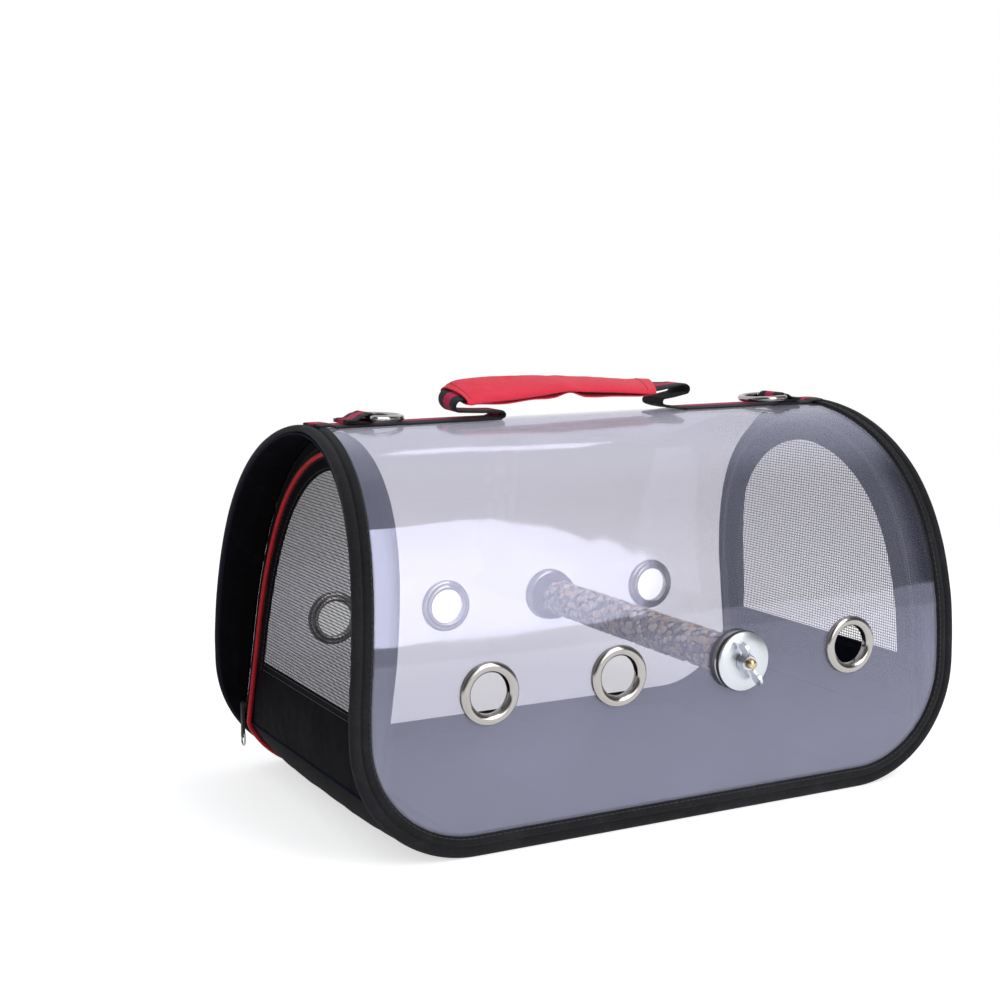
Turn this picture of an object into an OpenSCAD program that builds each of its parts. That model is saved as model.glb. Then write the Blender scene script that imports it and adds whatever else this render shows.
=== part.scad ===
/* [Shell] */
// Half of the length, at the widest height
half_length = 210; // [180:1:240]
// Half of the depth, where the front and the back stand upright
half_depth = 117; // [100:1:135]
// Height of the ridge, without the handle
ridge_height = 236; // [210:1:260]
// Half of the length at the ridge
ridge_half_length = 190; // [170:1:205]
// Radius of the lower corners, seen from the front
corner_radius = 75; // [50:1:85]
// Thickness of the clear sheet
sheet_thick = 1; // [0.6:0.1:1.5]

/* [Fabric] */
// Width of the tape that binds the sheet's rim
tape_width = 15; // [10:1:20]
// Thickness of one layer of the tape
tape_thick = 1.2; // [0.8:0.1:1.6]
// Thickness of the fabric panels
fabric_thick = 0.9; // [0.7:0.1:1.4]
// How far the lower panels swell out below the doors
panel_bulge = 6; // [0:0.5:9]
// Diameter of the red piping
piping_width = 3.3; // [2.5:0.1:4]

/* [Doors] */
// Height of the fold that a door turns on
hinge_height = 33; // [28:1:40]
// Distance of that fold from the middle
hinge_offset = 192; // [188:1:194]
// Lean of the left door from upright, in degrees
left_lean = 7.9; // [3:0.1:10]
// Lean of the right door from upright, in degrees
right_lean = 4.5; // [3:0.1:10]
// Height of the window's lower edge
sill_height = 75.5; // [60:0.5:90]
// Spacing of the bars in the window's net
net_pitch = 13; // [12.5:0.5:20]

/* [Zips] */
// Spacing of the zip's teeth
tooth_pitch = 6; // [5:0.5:8]
// Thickness of a zip row
row_thick = 1.6; // [1.2:0.1:2]

/* [Eyelets and perch] */
// Outer diameter of an eyelet
eyelet_width = 36.5; // [34:0.5:40]
// Bore of an eyelet
eyelet_bore = 24; // [20:1:26]
// Height of the eyelets
eyelet_height = 93; // [90:1:96]
// Distance between neighbouring eyelets
eyelet_spacing = 84; // [60:1:90]
// Diameter of the perch
perch_width = 25; // [18:1:27]
// Diameter of the perch's threaded ends
stud_width = 6; // [5:0.5:8]

/* [Straps] */
// Width of the webbing
webbing_width = 25; // [20:1:28]
// Thickness of the webbing
webbing_thick = 1.5; // [1:0.1:2]
// Wire diameter of the metal rings
ring_wire = 3.8; // [3:0.1:4.2]
// Length of the wrap on the handle
grip_length = 137; // [110:1:150]
// Width of the wrap on the handle
grip_width = 30; // [28:1:36]
// Forward tilt of the wrap at its left end, in degrees
grip_tilt = 22; // [0:1:30]

/* [Hidden] */
$fn = 64;

black = "#1a1a1d";
red = "#b5222e";
nickel = "#c9cbd0";
clear = [0.72, 0.8, 0.88, 0.35];

// Depth below the arch's outer face of each layer, from the tape inward
sheet_depth = tape_thick;
tape_depth = 2 * tape_thick + sheet_thick + fabric_thick;
gusset_depth = tape_depth + 1.6;
row_depth = gusset_depth;
zip_depth = 12.4;
frame_depth = 15;
window_depth = 28;
piping_depth = frame_depth + 2.6;

// Powers of the arch, seen from the end, and of the ends, seen from the front
arch_power_y = 1.88;
arch_power_z = 4.8;
end_power = 1.52;
end_drop_power = 1.2;
// Height up to which the front and the back are upright, and where the ends start to lean in
flat_high = 114;
lean_start = 89;

function arch_angle(z) = asin(pow(z / ridge_height, arch_power_z / 2));
curve_start = arch_angle(flat_high);
function arch_y(t, d) = (half_depth - d) * min(1, pow(cos(t) / cos(curve_start), 2 / arch_power_y));
function arch_z(t, d) = (ridge_height - d) * pow(sin(t), 2 / arch_power_z);
function reversed(list) = [for (i = [len(list) - 1 : -1 : 0]) list[i]];

// Angles from the floor to the ridge, and one side's points below the outer face by d
hinge_angle = arch_angle(hinge_height);
curve_steps = 12;
upper_angles = [
    for (i = [0 : curve_steps]) curve_start + (90 - curve_start) * pow(i / curve_steps, 1.35)
];
side_angles = concat([hinge_angle, arch_angle(0.6 * flat_high)], upper_angles);
arch_angles = concat([0], side_angles);
function side_points(angles, d) = [for (t = angles) [arch_y(t, d), arch_z(t, d)]];
function flipped(points) = [for (p = points) [-p[0], p[1]]];
function arch_points(angles, d) =
    let (back = side_points(angles, d), front = flipped(back))
    concat(front, [for (i = [len(back) - 2 : -1 : 0]) back[i]]);

// Half length at a height, and the front's outline drawn in by an inset
function end_x(z) =
    z <= lean_start ? half_length :
    ridge_half_length + (half_length - ridge_half_length)
        * pow(1 - pow(min(1, (z - lean_start) / (ridge_height - lean_start)), end_drop_power), 1 / end_power);
end_steps = 8;
corner_steps = 10;
function end_outline(inset) = concat(
    [for (i = [0 : corner_steps])
        let (a = 90 * i / corner_steps, r = corner_radius - inset)
        [half_length - corner_radius + r * sin(a), corner_radius - r * cos(a)]],
    [for (i = [0 : end_steps])
        let (z = lean_start + (ridge_height - lean_start) * sin(90 * i / end_steps))
        [end_x(z) - inset, z]],
    [[ridge_half_length - inset, ridge_height + 10]]);
function outline(inset) =
    let (right = end_outline(inset))
    concat(right, reversed(flipped(right)));

// Turns an outline of y and z into a bar along x, and one of x and z into a bar along y
module along_x(length) {
    rotate([90, 0, 90]) linear_extrude(length, center = true) children();
}
module along_y(length) {
    rotate([90, 0, 0]) linear_extrude(length, center = true) children();
}
module arch_ring(d1, d2, length = 2 * half_length + 2) {
    along_x(length) polygon(concat(arch_points(arch_angles, d1), reversed(arch_points(arch_angles, d2))));
}
module arch_solid(d, length) {
    along_x(length) polygon(arch_points(arch_angles, d));
}
module front_outline(inset) {
    along_y(2 * half_depth + 40) polygon(outline(inset));
}
module on_end(side) {
    mirror([side < 0 ? 1 : 0, 0, 0]) children();
}

// A closed skin between two grids of points that have the same rows and columns
module skin(outer, inner) {
    rows = len(outer);
    cols = len(outer[0]);
    half = rows * cols;
    points = [for (grid = [outer, inner]) for (line = grid) for (p = line) p];
    function quad(a, b, c, d) = [[a, b, c], [a, c, d]];
    faces = [
        for (r = [0 : rows - 2]) for (c = [0 : cols - 2])
            let (a = r * cols + c, b = a + 1, e = a + cols, f = e + 1)
            for (triangle = concat(quad(a, b, f, e), quad(half + a, half + e, half + f, half + b))) triangle,
        for (r = [0 : rows - 2])
            let (a = r * cols, e = a + cols, b = a + cols - 1, f = e + cols - 1)
            for (triangle = concat(quad(a, e, half + e, half + a), quad(b, half + b, half + f, f))) triangle,
        for (c = [0 : cols - 2])
            let (a = c, b = c + 1, e = (rows - 1) * cols + c, f = e + 1)
            for (triangle = concat(quad(a, half + a, half + b, b), quad(e, f, half + f, half + e))) triangle
    ];
    polyhedron(points, faces);
}

// A round tube along a list of points
module tube(path, radius, sides = 8) {
    last = len(path) - 1;
    function unit(v) = v / norm(v);
    rings = [
        for (i = [0 : last])
            let (
                ahead = unit(path[min(i + 1, last)] - path[max(i - 1, 0)]),
                side = unit(cross(ahead, abs(ahead[1]) > 0.9 ? [1, 0, 0] : [0, 1, 0])),
                up = cross(side, ahead)
            )
            [for (k = [0 : sides - 1])
                path[i] + radius * (cos(360 * k / sides) * side + sin(360 * k / sides) * up)]
    ];
    points = [for (ring = rings) for (p = ring) p];
    function spot(i, k) = i * sides + k % sides;
    faces = concat(
        [for (i = [0 : last - 1]) for (k = [0 : sides - 1])
            for (triangle = [
                [spot(i, k), spot(i, k + 1), spot(i + 1, k + 1)],
                [spot(i, k), spot(i + 1, k + 1), spot(i + 1, k)]
            ]) triangle],
        [for (k = [1 : sides - 2]) [spot(0, 0), spot(0, k + 1), spot(0, k)]],
        [for (k = [1 : sides - 2]) [spot(last, 0), spot(last, k), spot(last, k + 1)]]
    );
    polyhedron(points, faces);
}

// Clear sheet, with a hole for each eyelet
eyelet_xs = [for (i = [-1.5 : 1 : 1.5]) i * eyelet_spacing];
eyelet_y = half_depth - sheet_depth;
barrel_radius = eyelet_bore / 2 + 1.1;

// Places children on the sheet's outer face, their z axis pointing out of the front or the back
module on_sheet(face, xs) {
    for (x = xs)
        translate([x, face * eyelet_y, eyelet_height])
            rotate([-face * 90, 0, 0]) children();
}

module clear_shell() {
    color(clear) difference() {
        intersection() {
            arch_ring(sheet_depth, sheet_depth + sheet_thick);
            front_outline(tape_thick);
        }
        for (face = [-1, 1])
            on_sheet(face, eyelet_xs) cylinder(r = barrel_radius + 0.3, h = 12, center = true);
    }
}

// Tape folded round the sheet's rim, on both ends and along both lower edges
module edge_binding() {
    color(black) difference() {
        intersection() {
            arch_ring(0, tape_depth);
            difference() {
                front_outline(0);
                front_outline(tape_width);
            }
        }
        intersection() {
            arch_ring(sheet_depth, sheet_depth + sheet_thick);
            front_outline(tape_thick);
        }
    }
}

// Doors lie in a plane that leans inward from the hinge fold
function lean(side) = side < 0 ? left_lean : right_lean;
function plane_x(z, side) = hinge_offset - (z - hinge_height) * tan(lean(side));

// Fabric band from the rim in to the zip, round the arch
gusset_inset = 1.5;
gusset_shares = [0, 0.35, 0.7, 1];
gusset_drops = [0, 0, 0.5, 1];
module gusset(side) {
    function band(extra) = [
        for (p = [for (s = [-1, 1]) for (i = [0 : len(side_angles) - 1])
            [s, side_angles[s < 0 ? i : len(side_angles) - 1 - i], i]])
        if (p[0] < 0 || p[2] > 0)
        [for (k = [0 : len(gusset_shares) - 1])
            let (
                d = tape_depth + (gusset_depth - tape_depth) * gusset_drops[k] + extra,
                z = arch_z(p[1], d),
                rim = end_x(z) - gusset_inset,
                low_rim = half_length - corner_radius
                    + sqrt(pow(corner_radius, 2) - pow(max(0, corner_radius - z), 2)) - gusset_inset,
                start = min(rim, low_rim),
                x = start + (plane_x(z, side) - start) * gusset_shares[k]
            )
            [x, p[0] * arch_y(p[1], d), z]]
    ];
    color(black) on_end(side) skin(band(0), band(fabric_thick));
}

// Fabric below the door, which rounds the corner down to the base
corner_x = half_length - corner_radius;
panel_low = 0.6;
hinge_gap = 0.4;
panel_start = atan2(corner_radius - hinge_height + hinge_gap, hinge_offset - corner_x);
panel_start_radius = norm([corner_radius - hinge_height + hinge_gap, hinge_offset - corner_x]);
panel_half = half_depth - tape_depth;
panel_rows = 12;
panel_cols = 9;
function panel_point(y, share, extra) =
    let (
        a = panel_start + (90 - panel_start) * share,
        swell = panel_bulge * (1 - pow(abs(y) / panel_half, 4)) * sin(180 * share),
        r = panel_start_radius + (corner_radius - panel_low - panel_start_radius) * share + swell - extra
    )
    [corner_x + r * cos(a), y, max(corner_radius - r * sin(a), panel_low / 2 + extra)];
module corner_panel(side) {
    function sheet(extra) = [
        for (i = [0 : panel_rows])
        [for (k = [0 : panel_cols]) panel_point(panel_half * (2 * i / panel_rows - 1), k / panel_cols, extra)]
    ];
    color(black) on_end(side) skin(sheet(0), sheet(fabric_thick));
}

// Piping goes on down the corner panel, front and back
piping_y = arch_y(hinge_angle, piping_depth);
piping_seat = piping_width / 2 - 0.15;
corner_piping_steps = 8;
module corner_piping(side) {
    color(red) on_end(side) for (s = [-1, 1])
        tube([
            for (i = [0 : corner_piping_steps])
                panel_point(s * piping_y, 0.06 + 0.62 * i / corner_piping_steps, -piping_seat)
        ], piping_width / 2);
}

// Floor fabric, and the stiff board that lies on it
module base_panel() {
    color(black) translate([-corner_x, -panel_half, panel_low])
        cube([2 * corner_x, 2 * panel_half, fabric_thick]);
}
board_thick = 3;
board_gap = 5;
board_corner = 14;
module base_board() {
    x = corner_x;
    y = panel_half - board_gap;
    color("#26282e") translate([0, 0, panel_low + fabric_thick]) linear_extrude(board_thick) union() {
        square([2 * x, 2 * (y - board_corner)], center = true);
        square([2 * (x - board_corner), 2 * y], center = true);
        for (sx = [-1, 1]) for (sy = [-1, 1])
            translate([sx * (x - board_corner), sy * (y - board_corner)]) circle(board_corner);
    }
}

// Path of the zip, measured along the arch from the ridge, its back half positive
path_steps = 160;
path_angles = [
    for (i = [0 : path_steps]) hinge_angle + (90 - hinge_angle) * pow(1 - i / path_steps, 2)
];
path_spots = [for (t = path_angles) [arch_y(t, zip_depth), arch_z(t, zip_depth)]];
path_lengths = [
    for (i = 0, s = 0; i <= path_steps;
        s = s + (i < path_steps ? norm(path_spots[i + 1] - path_spots[i]) : 0), i = i + 1) s
];
path_table = [for (i = [0 : path_steps]) [path_lengths[i], path_angles[i]]];
path_end = path_lengths[path_steps];

// A point of the door's plane, as its y and its distance up from the fold
function door_point(s, d, side) =
    let (t = lookup(abs(s), path_table))
    [sign(s) * arch_y(t, d), (arch_z(t, d) - hinge_height) / cos(lean(side))];
function door_curve(d, side, from, to) =
    let (count = ceil((to - from) / tooth_pitch))
    [for (i = [0 : count]) door_point(from + (to - from) * i / count, d, side)];
module in_door_plane(side, low, high) {
    on_end(side) translate([hinge_offset, 0, hinge_height]) rotate([0, -lean(side), 0])
        translate([low, 0, 0]) rotate([90, 0, 90]) linear_extrude(high - low) children();
}
function up_plane(z, side) = (z - hinge_height) / cos(lean(side));

// Zip rows: the teeth mesh, apart from the straight run that the slider travels
row_end = path_end - 5;
run_start = path_end - 78;
tooth_root = 2.8;
tooth_tip = 2.2;
mesh_depth = 0.3;
run_gap = 2.2;
tooth_length = 1.8;
module zip_row(side, toward) {
    teeth = floor(row_end / tooth_pitch) - 1;
    shift = toward > 0 ? 0 : 0.5;
    back = toward > 0 ? row_depth : frame_depth;
    root = zip_depth - toward * tooth_length;
    edge = [
        for (k = [-teeth : teeth - (toward > 0 ? 0 : 1)])
            let (
                s = (k + shift) * tooth_pitch,
                tip = s > run_start ? zip_depth - toward * run_gap / 2 : zip_depth + toward * mesh_depth
            )
            for (p = [[-tooth_root, root], [-tooth_tip, tip], [tooth_tip, tip], [tooth_root, root]])
                door_point(s + p[0] / 2, p[1], side)
    ];
    color(black) in_door_plane(side, -row_thick, 0) polygon(concat(
        [door_point(-row_end, root, side)], edge, [door_point(row_end, root, side)],
        reversed(door_curve(back, side, -row_end, row_end))));
}

// Window border, lower panel, net and piping of a door
function window_outline(side) = [
    for (p = door_curve(window_depth, side, -path_end, path_end))
    if (p[1] > up_plane(sill_height, side) + 1) p
];
function sill_corners(side) =
    let (window = window_outline(side), sill = up_plane(sill_height, side))
    concat([[window[0][0], sill]], window, [[window[len(window) - 1][0], sill]]);
hem_height = 6;
module door_half(side, low) {
    intersection() {
        polygon(concat(
            [[-door_point(path_end, frame_depth, side)[0], 0]],
            door_curve(frame_depth, side, -row_end, row_end),
            [[door_point(path_end, frame_depth, side)[0], 0]]));
        translate([-half_depth, low ? hinge_gap : up_plane(sill_height - hem_height, side)])
            square([2 * half_depth, low ? up_plane(sill_height - hem_height, side) - hinge_gap : ridge_height]);
    }
}
module door_frame(side) {
    color(black) in_door_plane(side, -row_thick, 0) difference() {
        door_half(side, false);
        polygon(sill_corners(side));
    }
}
module door_panel(side) {
    color(black) in_door_plane(side, -row_thick, 0) door_half(side, true);
}
net_bar = 1.2;
module door_mesh(side) {
    window_half = half_depth - window_depth;
    bars = floor(window_half / net_pitch);
    rise = up_plane(ridge_height - window_depth, side) - up_plane(sill_height, side);
    levels = floor(rise / net_pitch);
    color("#3a3d44") in_door_plane(side, -1.3, -0.3) intersection() {
        polygon(sill_corners(side));
        union() {
            for (i = [-bars : bars])
                translate([i * net_pitch - net_bar / 2, 0]) square([net_bar, ridge_height]);
            for (i = [0 : levels])
                translate([-half_depth, up_plane(sill_height, side) + i * net_pitch])
                    square([2 * half_depth, net_bar]);
            difference() {
                polygon(sill_corners(side));
                translate([0, up_plane(sill_height, side) + net_bar]) scale(0.985)
                    translate([0, -up_plane(sill_height, side)]) polygon(sill_corners(side));
            }
        }
    }
}
piping_end = path_end - 6;
piping_rings = 44;
module door_piping(side) {
    color(red) on_end(side) translate([hinge_offset, 0, hinge_height]) rotate([0, -lean(side), 0])
        tube([
            for (i = [0 : piping_rings])
                let (p = door_point(piping_end * (2 * i / piping_rings - 1), piping_depth, side))
                [piping_seat, p[0], p[1]]
        ], piping_width / 2);
}

// Slider, which clasps the body's row of teeth, with a bail for the pull
slider_y = half_depth - zip_depth + 2;
slider_low = 5;
slider_length = 11;
slider_play = 0.35;
slider_plate = 1.3;
slider_width = 5;
blade_y = half_depth - zip_depth;
blade_thick = 0.8;
bail_rise = 3.9;
bail_radius = 0.8;
pull_width = 3.4;
module in_slider(side) {
    on_end(side) translate([hinge_offset, 0, hinge_height]) rotate([0, -lean(side), 0])
        translate([0, 0, slider_low]) children();
}
module plate(width, y) {
    translate([0, y, 0]) rotate([90, 0, 90]) linear_extrude(slider_plate) union() {
        translate([0, width / 2]) circle(width / 2);
        translate([-width / 2, width / 2]) square([width, slider_length - width]);
        translate([0, slider_length - width / 2]) circle(width / 2);
    }
}
module zip_slider(side) {
    color("#2b2b2e") in_slider(side) {
        translate([slider_play, 0, 0]) plate(slider_width, slider_y);
        translate([-row_thick - slider_play - slider_plate, 0, 0]) plate(slider_width + 1.6, slider_y - 0.8);
        translate([-row_thick - slider_play - slider_plate / 2, blade_y - blade_thick / 2, slider_length / 2])
            cube([row_thick + 2 * slider_play + slider_plate, blade_thick, slider_length / 3]);
        for (s = [-1, 1])
            translate([slider_play + slider_plate / 2, slider_y + s * (pull_width / 2 + 0.8) - 0.5,
                slider_length / 2 - 1.2])
                cube([bail_rise - slider_play - slider_plate / 2 + bail_radius, 1, 2.4]);
        translate([bail_rise, slider_y, slider_length / 2]) rotate([90, 0, 0])
            cylinder(r = bail_radius, h = pull_width + 2, center = true);
    }
}

// Pull that hangs from the bail, and the wire loop in its lower end
pull_length = 22;
pull_thick = 1.8;
eye_radius = 1.9;
bail_up = slider_low + slider_length / 2;
function bail_x(side) = hinge_offset + bail_rise * cos(lean(side)) - bail_up * sin(lean(side));
function bail_z(side) = hinge_height + bail_rise * sin(lean(side)) + bail_up * cos(lean(side));
pull_out = 2.4;
pull_side = pull_width / 2;
module at_bail(side) {
    on_end(side) translate([bail_x(side), slider_y, bail_z(side)]) children();
}
module zip_pull(side) {
    color(black) at_bail(side) difference() {
        union() {
            rotate([90, 0, 0]) cylinder(r = eye_radius, h = pull_width, center = true);
            translate([-0.1, -pull_side, -pull_length]) cube([pull_thick, pull_width, pull_length]);
        }
        rotate([90, 0, 0]) cylinder(r = bail_radius + 0.1, h = pull_width + 1, center = true);
        translate([pull_thick / 2 - 0.1, 0, -pull_length + 2.6]) rotate([90, 0, 0])
            cylinder(r = 0.6, h = pull_width + 1, center = true);
    }
}
wire_radius = 0.6;
loop_half = 3;
loop_drop = 8;
module zip_pull_end(side) {
    color(nickel) at_bail(side) translate([pull_thick / 2 - 0.1, 0, -pull_length + 2.6]) {
        rotate([90, 0, 0]) cylinder(r = wire_radius, h = 2 * loop_half, center = true);
        for (s = [-1, 1]) translate([0, s * loop_half, -loop_drop + loop_half])
            cylinder(r = wire_radius, h = loop_drop - loop_half);
        for (s = [-1, 1]) translate([0, s * loop_half, 0]) sphere(wire_radius);
        translate([0, 0, -loop_drop + loop_half]) rotate([0, 90, 0]) rotate([0, 0, -90])
            rotate_extrude(angle = 180) translate([loop_half, 0]) circle(wire_radius, $fn = 24);
    }
}

// Eyelets with a rolled rim outside and a curl over a washer inside
washer_top = -sheet_thick;
washer_thick = 0.8;
curl_top = washer_top - washer_thick;
eyelet_crown = 2.7;
curl_depth = curl_top - 1.2;
module eyelet() {
    bore = eyelet_bore / 2;
    rim = eyelet_width / 2;
    rotate_extrude() polygon([
        [bore, curl_depth + 0.5], [bore + 0.5, curl_depth + 0.1], [bore + 1.8, curl_depth],
        [bore + 3.2, curl_depth + 0.4], [bore + 3.6, curl_top], [barrel_radius, curl_top],
        [barrel_radius, 0], [rim - 0.5, 0], [rim, 0.6], [rim, 1.2], [rim - 0.5, 1.9], [rim - 1.5, 2.5],
        [rim - 3, eyelet_crown], [rim - 4.4, 2.5], [bore + 0.7, 1.8], [bore + 0.1, 1], [bore, 0.4]
    ]);
}
module eyelet_washer() {
    translate([0, 0, curl_top]) difference() {
        cylinder(r = eyelet_width / 2 - 0.6, h = washer_thick);
        translate([0, 0, -1]) cylinder(r = barrel_radius + 0.1, h = washer_thick + 2);
    }
}
module front_eyelets() { color(nickel) on_sheet(-1, eyelet_xs) eyelet(); }
module back_eyelets() { color(nickel) on_sheet(1, eyelet_xs) eyelet(); }
module front_eyelet_washers() { color(nickel) on_sheet(-1, eyelet_xs) eyelet_washer(); }
module back_eyelet_washers() { color(nickel) on_sheet(1, eyelet_xs) eyelet_washer(); }

// Perch between the third eyelets, clamped from outside by wing nuts
perch_x = eyelet_xs[2];
perch_half = 108.6;
disc_face = eyelet_y + eyelet_crown + 1.8;
washer_face = disc_face + 1.6;
stud_end = washer_face + 9.5;
stud_grip = 24;
module across(face, from, to, radius) {
    translate([perch_x, face * (from + to) / 2, eyelet_height]) rotate([90, 0, 0])
        cylinder(r = radius, h = to - from, center = true);
}
module perch() {
    color("#8d8c8a") difference() {
        across(1, -perch_half, perch_half, perch_width / 2);
        for (face = [-1, 1]) across(face, perch_half - stud_grip, perch_half + 1, stud_width / 2);
    }
}
module perch_studs() {
    color("#c9a24a") for (face = [-1, 1]) across(face, perch_half - stud_grip, stud_end, stud_width / 2);
}
module perch_outer_washers() {
    color(nickel) for (face = [-1, 1]) difference() {
        across(face, disc_face, washer_face, 18);
        across(face, disc_face - 1, washer_face + 1, stud_width / 2);
    }
}
module perch_outer_discs() {
    color(black) for (face = [-1, 1]) difference() {
        across(face, eyelet_y + eyelet_crown, disc_face, 18.4);
        across(face, eyelet_y, disc_face + 1, stud_width / 2);
    }
}
module perch_inner_discs() {
    color(black) for (face = [-1, 1]) difference() {
        across(face, perch_half, eyelet_y + curl_depth, 16.5);
        across(face, perch_half - 1, eyelet_y, stud_width / 2);
    }
}

// Wing nut: a domed hub with two rounded wings that rise outward
nut_play = 0.15;
wing_turn = -64;
wing_span = 30;
wing_thick = 2;
hub_height = 6;
module wing_nut(face) {
    color(nickel) translate([perch_x, face * (washer_face + nut_play), eyelet_height])
        rotate([-face * 90, 0, 0]) rotate([0, 0, wing_turn]) difference() {
            union() {
                rotate_extrude()
                    polygon([[0, 0], [5.6, 0], [5.6, 1.2], [4.8, 5.2], [4.2, hub_height], [0, hub_height]]);
                for (s = [-1, 1])
                    translate([0, wing_thick / 2, 0]) rotate([90, 0, 0]) linear_extrude(wing_thick) {
                        translate([s * (wing_span / 2 - 4.2), 6.6]) circle(4.2);
                        polygon([
                            [s * 3, 1], [s * 8, 3.2], [s * (wing_span / 2 - 1), 4],
                            [s * (wing_span / 2 - 7.6), 9], [s * 3, 5]
                        ]);
                    }
            }
            translate([0, 0, -1]) cylinder(r = stud_width / 2 + 0.08, h = hub_height + 2);
        }
}

// Webbing on the ridge; its outer end steps up over the tape
strap_outer = 184;
strap_step = 3;
left_strap_end = 63;
right_strap_end = 72;
module strap_span(from, to, d) {
    translate([(from + to) / 2, 0, 0]) intersection() {
        arch_ring(d, d + webbing_thick, to - from);
        translate([0, 0, ridge_height]) cube([to - from, webbing_width, 20], center = true);
    }
}
module ridge_webbing(side, inner) {
    band_edge = ridge_half_length - tape_width;
    color(black) on_end(side) {
        strap_span(band_edge - strap_step, strap_outer, -webbing_thick);
        strap_span(inner, band_edge, sheet_depth - webbing_thick);
    }
}

// Loop of webbing sewn down behind the metal ring's bar
strap_top = ridge_height - sheet_depth + webbing_thick;
bar_x = 150;
loop_thick = 1.2;
bar_radius = ring_wire / 2;
bar_z = strap_top + loop_thick + bar_radius + 0.1;
loop_end = 165;
loop_width = webbing_width - 1;
module ring_loop(side) {
    outer = bar_radius + 0.1 + loop_thick;
    color(black) on_end(side) difference() {
        along_y(loop_width) difference() {
            union() {
                translate([bar_x, bar_z]) circle(outer);
                polygon([
                    [bar_x, bar_z - outer - 1], [loop_end, bar_z - outer - 1],
                    [loop_end, strap_top + 2 * loop_thick], [bar_x + 6, bar_z + outer - 1.4],
                    [bar_x, bar_z + outer]
                ]);
            }
            translate([bar_x, bar_z]) circle(bar_radius + 0.1);
        }
        arch_solid(sheet_depth - webbing_thick, 2 * loop_end + 10);
    }
}

// Metal ring that lies towards the middle
ring_half = 15.1;
ring_side = 8.1;
ring_corner = 3;
ring_droop = 2.2;
module d_ring(side) {
    r = bar_radius;
    color(nickel) on_end(side) translate([bar_x, 0, bar_z]) rotate([0, -ring_droop, 0]) mirror([1, 0, 0]) {
        rotate([90, 0, 0]) cylinder(r = r, h = 2 * (ring_half - ring_corner), center = true);
        for (s = [0, 1]) mirror([0, s, 0]) {
            translate([ring_corner, ring_half - ring_corner, 0]) rotate([0, 0, 90])
                rotate_extrude(angle = 90) translate([ring_corner, 0]) circle(r, $fn = 32);
            translate([ring_corner, ring_half, 0]) rotate([0, 90, 0]) cylinder(r = r, h = ring_side - ring_corner);
        }
        translate([ring_side, 0, 0]) rotate([0, 0, -90])
            rotate_extrude(angle = 180) translate([ring_half, 0]) circle(r, $fn = 32);
    }
}

// Strips of webbing seen from the front, thickened about their middle line
turn_steps = 8;
function turn(x, z, r, from, to) = [
    for (i = [0 : turn_steps])
        let (a = from + (to - from) * i / turn_steps) [x + r * cos(a), z + r * sin(a)]
];
function thickened(path, thick) =
    let (
        last = len(path) - 1,
        offsets = [for (i = [0 : last])
            let (v = path[min(i + 1, last)] - path[max(i - 1, 0)])
            [-v[1], v[0]] / norm(v) * thick / 2]
    )
    concat([for (i = [0 : last]) path[i] + offsets[i]], [for (i = [last : -1 : 0]) path[i] - offsets[i]]);
strap_mid = strap_top - webbing_thick / 2;
fold_radius = 2;
// Short level run at a fold's cut end
fold_run = 0.4;
left_turn_x = -90;
left_turn_z = 245.5;
left_turn_radius = 4.6;
module left_handle_fold() {
    color(black) along_y(webbing_width) polygon(thickened(concat(
        [[-left_strap_end, strap_mid]],
        turn(fold_run - left_strap_end, strap_mid + fold_radius, fold_radius, -90, 90),
        [[-76, strap_mid + 2 * fold_radius + 0.4]],
        turn(left_turn_x, left_turn_z, left_turn_radius, 270, 90),
        [[handle_left, handle_left_z]]
    ), webbing_thick));
}
right_fold_x = 49.5;
right_fold_z = 240.6;
right_fold_radius = 2.2;
right_turn_x = 75.5;
right_turn_z = 248;
right_turn_radius = 3;
module right_handle_fold() {
    color(black) along_y(webbing_width) polygon(thickened(concat(
        [[right_strap_end, strap_mid], [right_strap_end - fold_run, strap_mid],
            [right_strap_end - 4, strap_mid + 0.1], [60, 237]],
        turn(right_fold_x, right_fold_z, right_fold_radius, 270, 90),
        [[62, 243.8]],
        turn(right_turn_x, right_turn_z, right_turn_radius, -90, 90),
        [[handle_right, handle_right_z]]
    ), webbing_thick));
}

// Handle: the webbing rises in a low arch and tilts forward under the wrap
handle_left = left_turn_x + fold_run;
handle_left_z = left_turn_z + left_turn_radius;
handle_right = right_turn_x - fold_run;
handle_right_z = right_turn_z + right_turn_radius;
handle_steps = 22;
grip_left = -89;
grip_right = grip_left + grip_length;
// Along the handle from 0 to 1: the arch's rise, and the share of the tilt
arch_rise = [
    [0, 0], [0.06, 1.6], [0.12, 2.2], [0.27, 3], [0.36, 3.5], [0.45, 3.8],
    [0.54, 2.6], [0.64, 1.5], [0.73, 0.35], [0.83, -1], [0.92, -0.6], [1, 0]
];
tilt_share = [[0, 1], [0.17, 0.98], [0.27, 0.86], [0.36, 0.7], [0.45, 0.52], [1, 0.45]];
function eased(x) = x <= 0 ? 0 : x >= 1 ? 1 : x * x * (3 - 2 * x);
function along_handle(x) = (x - handle_left) / (handle_right - handle_left);
function handle_z(x) =
    handle_left_z + (handle_right_z - handle_left_z) * along_handle(x) + lookup(along_handle(x), arch_rise);
function handle_tilt(x) =
    grip_tilt * lookup(along_handle(x), tilt_share)
        * eased((x - handle_left) / 14 + 0.3) * eased((handle_right - x) / 24);
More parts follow.
